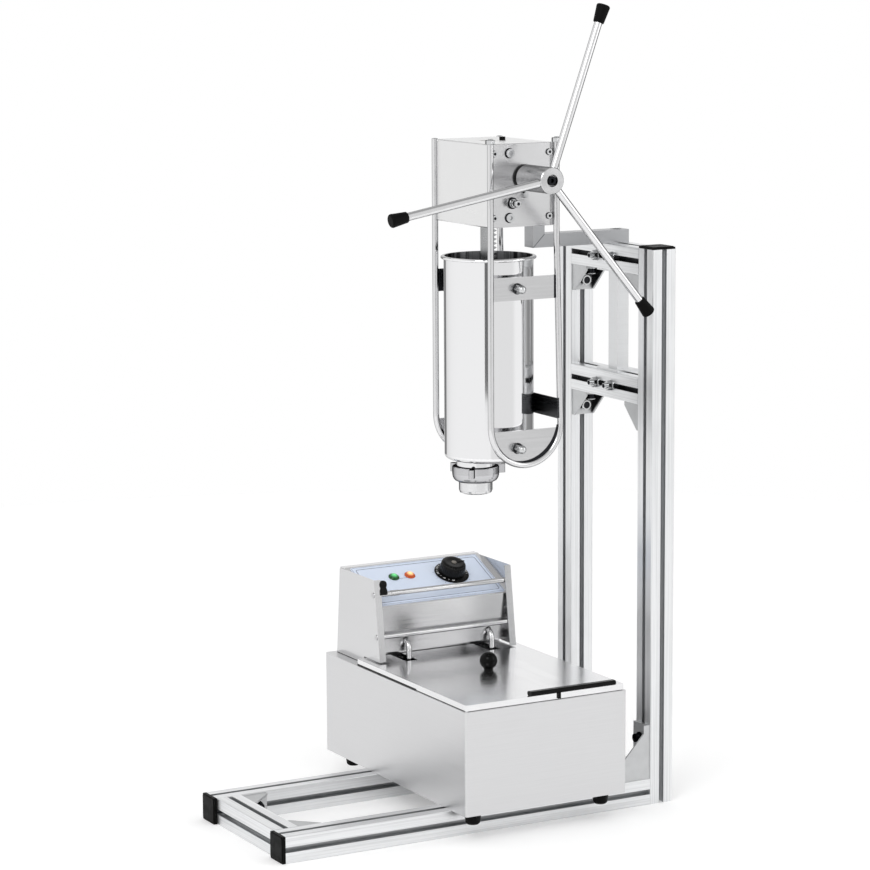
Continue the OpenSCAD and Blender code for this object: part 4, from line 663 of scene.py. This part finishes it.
# black rings: painted shade at the collar's steps
groove_shade_rings = ((8.5 * MM, 1.45 * MM, 1.95 * MM), (7.3 * MM, 3.0 * MM, 3.5 * MM))
piece("plunger_groove_shade",
      [ring(PIN_R, r, foot, top, plunger, FRONT, 0.1 * MM) for r, foot, top in groove_shade_rings],
      black_steel_and_painted_shade)
sleeve = (plunger[0], plate_low - 5.2 * MM, plunger[2])
piece("plunger_sleeve", [
    turned([(3.2 * MM, -14 * MM), (3.2 * MM, 0), (5 * MM, 0), (5.3 * MM, 0.4 * MM), (5.3 * MM, 3.4 * MM),
            (4.5 * MM, 3.9 * MM), (4.5 * MM, 8.6 * MM), (5.3 * MM, 9.2 * MM), (5.3 * MM, 13.4 * MM),
            (4.8 * MM, 14 * MM), (2.4 * MM, 14 * MM), (2.4 * MM, 12 * MM)], sleeve, FRONT)],
    bright, "plunger", ("plunger_pin",))
# a black disc and ring: painted shade in the sleeve's hole and its waist
piece("plunger_sleeve_shade", [button(2.3 * MM, 14.02 * MM, sleeve, FRONT),
                               ring(PIN_R, 4.7 * MM, 4.1 * MM, 8.4 * MM, sleeve, FRONT, 0.1 * MM)],
      black_steel_and_painted_shade, "plunger")

# ---------------------------------------------------------------------------
# Corner brackets on the posts: washers and rings at their black screws, sockets, and dark inner faces of
# painted shade
# ---------------------------------------------------------------------------
SCREW_REACH = 25 * MM           # from a bracket's corner to its screws
LEG_T, LEG_L, LEG_TIP = 4.1 * MM, 38 * MM, 5 * MM   # just clear of a leg's face, its length and its end
WEB_IN = 14.9 * MM              # the webs' inner faces, from the bracket's middle
WALL_L, WALL_HALF = 37 * MM, 14.7 * MM
post_x = centre("post_front").x
front_rail_y, rear_rail_y = centre("base_rail_front").y, centre("base_rail_rear").y


def brackets():
    """Each bracket: its corner, the way of its level leg and the way of its upright one."""
    for z, way_z in ((TOP_RAIL_Z - HALF, -1), (MID_RAIL_Z - HALF, -1), (2 * HALF, 1)):
        for y, way_y in ((front_rail_y + HALF, 1), (rear_rail_y - HALF, -1)):
            yield tuple(np.array(x, float) for x in ((post_x, y, z), (0, way_y, 0), (0, 0, way_z)))


def leg_screws():
    """The screws' places and ways out: two to each bracket."""
    for corner, level, upright in brackets():
        yield corner + SCREW_REACH * level, upright
        yield corner + SCREW_REACH * upright, level


forms = []
for at, way in leg_screws():
    forms.append(ring(4.2 * MM, 8.6 * MM, 3.95 * MM, 5.75 * MM, at, way, 0.4 * MM))
    forms.append(ring(5.5 * MM, 8 * MM, 12.2 * MM, 14 * MM, at, way, 0.6 * MM))
piece("bracket_washers", forms, bright)
sockets = [button(5.7 * MM, 13.3 * MM, at, way, 0, 0.2 * MM) for at, way in leg_screws()]
piece("bracket_screw_sockets", sockets, black_steel_and_painted_shade)

web = [(LEG_T, LEG_T), (LEG_L, LEG_T), (LEG_L, LEG_TIP), (LEG_TIP, LEG_L), (LEG_T, LEG_L)]
wall = [(LEG_T, -WALL_HALF), (WALL_L, -WALL_HALF), (WALL_L, WALL_HALF), (LEG_T, WALL_HALF)]
forms = []
for corner, level, upright in brackets():
    side = np.cross(level, upright)
    for s in (-1, 1):
        at = corner + s * WEB_IN * side
        layers = (0, -s * 0.2 * MM)
        forms.append(skin([at + a * level + b * upright + t * side for a, b in web] for t in layers))
    at = corner + 4.02 * MM * upright
    forms.append(skin([at + a * level + b * side + t * upright for a, b in wall] for t in (0, 0.12 * MM)))
# the brackets' inner faces: painted shade
piece("bracket_inner_shade", forms, cast_alloy("painted shade in the brackets", "#2E2F31", 0.6))

# The clamp bolts' dark ends, flush in their nuts
CLAMP_Y = 21 * MM               # the clamp bolts, from the cylinder's middle plane
bolt_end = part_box("clamp_bolts")[0].x - 0.05 * MM
piece("clamp_bolt_ends", [button(3.1 * MM, 0.3 * MM, (bolt_end, CAN_Y + y, z), LEFT, 0, 0.1 * MM)
                          for z in (TOP_RAIL_Z, MID_RAIL_Z) for y in (-CLAMP_Y, CLAMP_Y)],
      black_steel_and_painted_shade)

# ---------------------------------------------------------------------------
# Fryer: the control panel's print, the lamps, the dial and the bumper
# ---------------------------------------------------------------------------
PANEL_T, PANEL_W, PANEL_H = 1 * MM, 223.6 * MM, 102.57 * MM
PRINT_T = 0.06 * MM
DIAL_X, DIAL_S, DIAL_H = 46.5 * MM, 64 * MM, 21 * MM
DIAL_R, BODY_R, PRINT_R = 27.5 * MM, 20.5 * MM, 23.9 * MM   # the dial's skirt, its body, its figures
FIGURES, FIRST_FIGURE, FIGURE_STEP = 8, 60, 20
FIGURE_TURN, TICK_TURN, TURN_STEP = 250, 232, 36    # degrees: the first figure, the first tick, each step
LAMP_S, LAMP_R = 71 * MM, 8.6 * MM
panel_low, panel_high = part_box("control_panel")
slope_u = np.array((1.0, 0, 0))
slope_v = np.array((0, math.cos(SLOPE), math.sin(SLOPE)))
slope_w = np.cross(slope_u, slope_v)
slope_foot = np.array(((panel_low.x + panel_high.x) / 2, *SLOPE_START))


def on_slope(x, s, h=0.0):
    """A point on the sloped front: x from its middle, s up from its lower edge and h off the sheet."""
    return slope_foot + x * slope_u + s * slope_v + h * slope_w


def slope_way(degrees):
    """The direction on the sloped front that is degrees round from x."""
    a = math.radians(degrees)
    return math.cos(a) * slope_u + math.sin(a) * slope_v


ink = moulded("dark blue screen ink", "#28325A", 0.45, 0.5 * MM, 0.0)
forms = [line_along(round_rect(PANEL_W - 2 * inset, PANEL_H - 2 * inset, radius), wide,
                    on_slope(0, SLOPE_L / 2, PANEL_T), slope_u, slope_v, PRINT_T)
         for inset, wide, radius in ((1.3 * MM, 0.5 * MM, 2.4 * MM), (6.2 * MM, 0.9 * MM, 4 * MM))]
for degrees in range(15, 375, 30):
    way = slope_way(degrees)
    at = on_slope(DIAL_X, DIAL_S, PANEL_T) + (DIAL_R + 2.6 * MM) * way
    forms.append(plate(round_rect(2.6 * MM, 0.5 * MM, 0.2 * MM, 3), at, way, np.cross(slope_w, way), PRINT_T))
at = on_slope(DIAL_X, DIAL_S + DIAL_R + 4.5 * MM, PANEL_T)
forms.append(plate(polygon(1.9 * MM, 3, -90), at, slope_u, slope_v, 0.07 * MM))
at = on_slope(-37 * MM, 66 * MM, PANEL_T)
forms.append(plate(round_rect(42 * MM, 0.5 * MM, 0.2 * MM, 3), at, slope_u, slope_v, PRINT_T))
piece("panel_print", forms, ink)

dial_at = on_slope(DIAL_X, DIAL_S, PANEL_T + 0.3 * MM)
dial_top = DIAL_H - 0.8 * MM
black_knob = moulded("moulded black phenolic knob", "#060606", 0.22, 1.2 * MM, 0.02 * MM, 0.2)
piece("dial", [
    turned([(DIAL_R - 0.8 * MM, 0), (DIAL_R, 0.6 * MM), (DIAL_R, 1.4 * MM), (DIAL_R - 1.2 * MM, 2.3 * MM),
            (BODY_R, 2.9 * MM)], dial_at, slope_w, sides=96),
    turned([(BODY_R, 2.4 * MM), (BODY_R - 0.1 * MM, 4.5 * MM), (BODY_R - 0.9 * MM, DIAL_H - 4.5 * MM),
            (BODY_R - 1.5 * MM, DIAL_H - 2.4 * MM), (BODY_R - 2.8 * MM, DIAL_H - 1 * MM),
            (BODY_R - 4.8 * MM, DIAL_H - 0.2 * MM), (BODY_R - 7 * MM, DIAL_H),
            (BODY_R - 10 * MM, DIAL_H - 0.4 * MM), (4 * MM, DIAL_H - 0.7 * MM)],
           dial_at, slope_w, sides=192, flutes=32, flute=0.03),
    button(3.0 * MM, 9 * MM, on_slope(DIAL_X, DIAL_S, -8.6 * MM), slope_w),
    plate(round_rect(12 * MM, 2.2 * MM, 0.9 * MM, 4), dial_at + 12.4 * MM * slope_u + dial_top * slope_w,
          slope_u, slope_v, 1.6 * MM, 0.4 * MM)],
    black_knob, "thermostat", ("thermostat_knob",))
piece("dial_cap", [button(4 * MM, 0.9 * MM, dial_at + dial_top * slope_w, slope_w, 0.5 * MM)],
      machined("bead blasted steel cap", "#A8A39C", 0.35), "thermostat")
forms = []
for i in range(FIGURES):
    way, text = slope_way(FIGURE_TURN - TURN_STEP * i), str(FIRST_FIGURE + FIGURE_STEP * i)
    at = dial_at + PRINT_R * way + 2.66 * MM * slope_w
    forms.append(figure(text, 4.4 * MM, at, np.cross(way, slope_w), way))
    way = slope_way(TICK_TURN - TURN_STEP * i)
    at = dial_at + PRINT_R * way + 2.56 * MM * slope_w
    forms.append(plate(round_rect(0.5 * MM, 3 * MM, 0.2 * MM, 3), at, np.cross(way, slope_w), way, 0.12 * MM))
piece("dial_figures", forms, moulded("white filled print", "#EFEFEF", 0.5), "thermostat")


def lamp_plastic(name, place, core, rim, glow):
    """Tinted clear plastic over a neon lamp: bright over the lamp and deep at the rim, gloss."""
    made, tree, shader, at = start(name, rim, 0.0, 0.12)
    away = put(tree, "VectorMath", {0: at, 1: tuple(place)}, operation="DISTANCE").outputs["Value"]
    lit = fade(tree, away, 6.8 * MM, 2.2 * MM)
    ribs = grain(tree, at, 0.8 * MM, 1.0)
    shader.inputs["Emission Color"].default_value = linear(core)
    shader.inputs["Specular IOR Level"].default_value = 0.5
    feed(tree, shader, Base_Color=blend_colour(tree, lit, linear(rim), linear(core)),
         Emission_Strength=calc(tree, "MULTIPLY", lit, glow), Normal=bumped(tree, ribs, 0.05 * MM, 0.3))
    return made


crown = np.linspace(0, np.pi / 2, 9)[:-1]
dome = [(6.6 * MM * math.cos(s), 2.3 * MM + 2.9 * MM * math.sin(s)) for s in crown]
profile = [(LAMP_R, 0), (LAMP_R, 1.1 * MM), (LAMP_R - 0.8 * MM, 2 * MM)] + dome
for name, x, core, rim, glow in (("green", -52 * MM, "#6FE08C", "#0B4E1B", 0.3),
                                 ("orange", -24 * MM, "#FFC98A", "#C85018", 0.8)):
    at = on_slope(x, LAMP_S, PANEL_T)
    lens = lamp_plastic("tinted lens, " + name, at + 3 * MM * slope_w, core, rim, glow)
    forms = [turned(profile, at, slope_w), button(3.7 * MM, 6 * MM, at - 6.5 * MM * slope_w, slope_w)]
    piece("lamp_" + name, forms, lens, replaces=("pilot_lamps",) if name == "green" else ())

# The bumper: a slim ring on the rod, and the rubber post that stands on the rod beside the cheek
head_low, head_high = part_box("control_head")
low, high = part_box("rod_bumper")
rod_y, rod_z = (low.y + high.y) / 2, (low.z + high.z) / 2
piece("bumper_ring", [ring(3.9 * MM, 4.5 * MM, 0, high.x - low.x, (low.x, rod_y, rod_z), X, 0.2 * MM, 32)],
      rod_steel, replaces=("rod_bumper",))
post = [(5.6 * MM, -4.3 * MM), (6.2 * MM, -3 * MM), (6.3 * MM, 3 * MM), (5.4 * MM, 6 * MM),
        (5.4 * MM, 7 * MM), (6.6 * MM, 10 * MM), (6.8 * MM, 12.5 * MM), (6 * MM, 15.6 * MM),
        (3.8 * MM, 17.6 * MM), (1.2 * MM, 18.2 * MM)]
post_at = (head_low.x + 15 * MM, rod_y - 5 * MM, rod_z + 4 * MM)
piece("cheek_bumper", [turned(post, post_at, (0, 0.25, 0.97), sides=40)],
      moulded("moulded black rubber bumper", "#060606", 0.45, 0.9 * MM, 0.07 * MM, 0.15))

# Painted shadow in the gap under the lid: thin in front, wider along the left side at the rear
STRIP_OUT, STRIP_IN = 0.12 * MM, 1.6 * MM       # how far the strip stands out of the lid and reaches in
CORNER = 3 * MM                                 # what it leaves free at the lid's corners
low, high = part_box("fryer_lid")
# black strips: painted shadow in the gaps
shadow = moulded("painted shadow in the gaps", "#141414", 0.55)
foot, side_top, front_top, rear_top = (low.z + h * MM for h in (0.1, 0.9, 0.7, 2.6))
piece("lid_shadow_gap", [
    bar((low.x - STRIP_OUT, low.y + CORNER, foot), (low.x + STRIP_IN, high.y - CORNER, side_top)),
    bar((high.x - STRIP_IN, low.y + CORNER, foot), (high.x + STRIP_OUT, high.y - CORNER, side_top)),
    bar((low.x + CORNER, low.y - STRIP_OUT, foot), (high.x - CORNER, low.y + STRIP_IN, front_top)),
    bar((low.x - 2 * STRIP_OUT, high.y - 190 * MM, foot), (low.x + STRIP_IN, high.y - 2 * MM, rear_top))],
    shadow, "lid")

# Painted shadow in the gap under the control head's cheeks
body_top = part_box("fryer_body")[1].z
piece("head_shadow_gap", [
    bar((x - STRIP_OUT, head_high.y - 88 * MM, body_top + 0.02 * MM),
        (x + STRIP_OUT, head_high.y - 1 * MM, body_top + 0.9 * MM))
    for x in (head_low.x, head_high.x)], shadow)

# The weld at the bent tube's corner, on its front and rear faces. On the rear one its length runs square
# to the front one's
TUBE_HALF = 12.5 * MM
WELD_AT = 10 * MM               # the weld's middle, from the tube's outer corner along x and z
weld = round_rect(27.6 * MM, 0.9 * MM, 0.4 * MM, 3)
up_right, up_left = (math.sqrt(0.5), 0, math.sqrt(0.5)), (-math.sqrt(0.5), 0, math.sqrt(0.5))
piece("mitre_weld", [plate(weld, (MOUNT_X + WELD_AT, y, TUBE_Z + WELD_AT), u, v, 0.15 * MM)
                     for y, u, v in ((CAN_Y - TUBE_HALF, up_right, up_left),
                                     (CAN_Y + TUBE_HALF, up_left, up_right))],
      machined("ground weld", "#55575A", 0.4))


# ---------------------------------------------------------------------------
# Floor, light and camera
# ---------------------------------------------------------------------------
FLOOR_R, FLOOR_GLOW = 2.7, 0.2
# Grey gaps in the white room that polished metal sees: degrees from the camera's side, and how dark
GAP_RIGHT, GAP_LEFT, GAP_TONE = (100, 118, 148, 156), (-164, -158, -146, -140), 0.7
PALE_RIGHT, PALE_TONE = (2, 6, 60, 75), 0.14
ABOVE, ABOVE_TONE = (0.7, 0.9), 0.5             # the height's sine
SOFT_LIGHT = 0.86                               # the world's strength for diffuse light
CARD_TURN, CARD_AWAY = 5.7, 3                   # the card's place: degrees left of the camera, and metres
CARD_FROM, CARD_FOOT = (0.08, -0.04), 0.20
CARD_SIZE, CARD_TONE = (0.55, 0.75), 0.16
AIM = (0, 0, 0.5)


def flat_sheet(name, finish, rim, colour, rough):
    """A flat sheet of the stage, its rim through the points given: the object, its tree and its shader."""
    mesh = bpy.data.meshes.new(name)
    mesh.from_pydata(rim, [], [tuple(range(len(rim)))])
    sheet = bpy.data.objects.new(name, mesh)
    bpy.context.scene.collection.objects.link(sheet)
    made = bpy.data.materials.new(finish)
    made.use_nodes = True
    shader = made.node_tree.nodes["Principled BSDF"]
    shader.inputs["Base Color"].default_value = colour
    shader.inputs["Roughness"].default_value = rough
    shader.inputs["Emission Color"].default_value = (1, 1, 1, 1)
    mesh.materials.append(made)
    return sheet, made.node_tree, shader


def white_floor():
    """The floor: a round pale paper sheet. Its rim is a circle of radius FLOOR_R. It glows a little for
    all but diffuse rays."""
    around = np.linspace(0, 2 * np.pi, 96, endpoint=False)
    rim = np.stack([np.cos(around), np.sin(around), 0 * around], 1) * FLOOR_R
    floor, tree, shader = flat_sheet("floor", "white paper", rim.tolist(), linear("#F4F4F4"), 0.9)
    ray = put(tree, "LightPath").outputs
    seen = calc(tree, "MAXIMUM", ray["Is Camera Ray"],
                calc(tree, "MAXIMUM", ray["Is Glossy Ray"], ray["Is Transmission Ray"]))
    feed(tree, shader, Emission_Strength=calc(tree, "MULTIPLY", seen, FLOOR_GLOW))
    floor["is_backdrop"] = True


def grey_card(place, width, height, tone):
    """A card for the metal to mirror: a flat sheet facing the machine, that only glossy rays see."""
    x = np.array(place[:2]) / np.hypot(*place[:2])
    side = np.array([-x[1], x[0]]) * width / 2
    corners = [(place[0] + s * side[0], place[1] + s * side[1], place[2] + t * height)
               for s, t in ((1, 0), (-1, 0), (-1, 1), (1, 1))]
    card, _, shader = flat_sheet("grey card", "grey card", corners, (0, 0, 0, 1), 1.0)
    shader.inputs["Emission Strength"].default_value = tone
    card.visible_camera = card.visible_diffuse = card.visible_shadow = False
    card.visible_transmission = card.visible_volume_scatter = False
    card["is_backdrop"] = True


def studio():
    """A white world for the camera. Polished metal sees a white room with grey gaps between its panels."""
    world = bpy.data.worlds.new("studio")
    bpy.context.scene.world = world
    world.use_nodes = True
    tree = world.node_tree
    tree.nodes.clear()
    at = put(tree, "TexCoord").outputs["Generated"]
    x, y, z = put(tree, "SeparateXYZ", {0: at}).outputs
    # azimuth from the camera's side, -180 to 180 degrees
    turn = math.radians(EYE_TURN)
    cos_t, sin_t = math.cos(turn), math.sin(turn)
    u = calc(tree, "ADD", calc(tree, "MULTIPLY", x, cos_t), calc(tree, "MULTIPLY", y, sin_t))
    v = calc(tree, "SUBTRACT", calc(tree, "MULTIPLY", x, sin_t), calc(tree, "MULTIPLY", y, cos_t))
    azimuth = calc(tree, "MULTIPLY", calc(tree, "ARCTAN2", u, v), 180 / math.pi)
    gaps = calc(tree, "ADD", band(tree, azimuth, *GAP_RIGHT), band(tree, azimuth, *GAP_LEFT))
    dark = calc(tree, "MULTIPLY", gaps, GAP_TONE)
    for share, tone in ((band(tree, azimuth, *PALE_RIGHT), PALE_TONE), (fade(tree, z, *ABOVE), ABOVE_TONE)):
        dark = calc(tree, "MAXIMUM", dark, calc(tree, "MULTIPLY", share, tone))
    room = calc(tree, "SUBTRACT", 1.0, dark)
    ray = put(tree, "LightPath").outputs
    mirror = calc(tree, "MAXIMUM", ray["Is Glossy Ray"], ray["Is Transmission Ray"])
    plain = calc(tree, "ADD", ray["Is Camera Ray"], calc(tree, "MULTIPLY", mirror, room))
    soft = calc(tree, "SUBTRACT", 1.0, calc(tree, "MAXIMUM", ray["Is Camera Ray"], mirror))
    strength = calc(tree, "ADD", plain, calc(tree, "MULTIPLY", soft, SOFT_LIGHT))
    back = put(tree, "Background", {"Color": (1, 1, 1, 1), "Strength": strength})
    out = put(tree, "OutputWorld")
    tree.links.new(back.outputs[0], out.inputs["Surface"])


def lamp(name, place, size, power):
    """An area light at place, turned to AIM, that the camera doesn't see."""
    data = bpy.data.lights.new(name, "AREA")
    data.shape = "RECTANGLE"
    data.size, data.size_y = size
    data.energy = power
    o = bpy.data.objects.new(name, data)
    bpy.context.scene.collection.objects.link(o)
    o.location = place
    o.rotation_mode = "QUATERNION"
    o.rotation_quaternion = (Vector(AIM) - Vector(place)).to_track_quat("-Z", "Y")
    o.visible_camera = False


def camera():
    """The photograph's camera, from its place, turn, drop and roll."""
    a, e, r = (math.radians(x) for x in (EYE_TURN, EYE_DROP, EYE_ROLL))
    back = Vector((math.sin(a) * math.cos(e), -math.cos(a) * math.cos(e), math.sin(e)))
    right = Vector((math.cos(a), math.sin(a), 0))
    up = back.cross(right)
    side = math.cos(r) * right + math.sin(r) * up
    top = -math.sin(r) * right + math.cos(r) * up
    data = bpy.data.cameras.new("camera")
    data.sensor_width = 36
    data.lens = EYE_LENS
    data.clip_start, data.clip_end = 0.1, 100
    o = bpy.data.objects.new("camera", data)
    o.matrix_world = Matrix((
        (side.x, top.x, back.x, EYE[0]), (side.y, top.y, back.y, EYE[1]), (side.z, top.z, back.z, EYE[2]),
        (0, 0, 0, 1)))
    bpy.context.scene.collection.objects.link(o)
    bpy.context.scene.camera = o


white_floor()
studio()
turn = math.radians(EYE_TURN - CARD_TURN)
card_place = (CARD_FROM[0] + CARD_AWAY * math.sin(turn), CARD_FROM[1] - CARD_AWAY * math.cos(turn), CARD_FOOT)
grey_card(card_place, *CARD_SIZE, CARD_TONE)
lamp("key", (-2.2, -2.0, 2.8), (1.6, 1.6), 28)
lamp("fill", (2.4, -2.2, 1.6), (1.8, 1.8), 10)
camera()
bpy.context.scene.view_settings.view_transform = "Standard"

low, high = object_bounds()
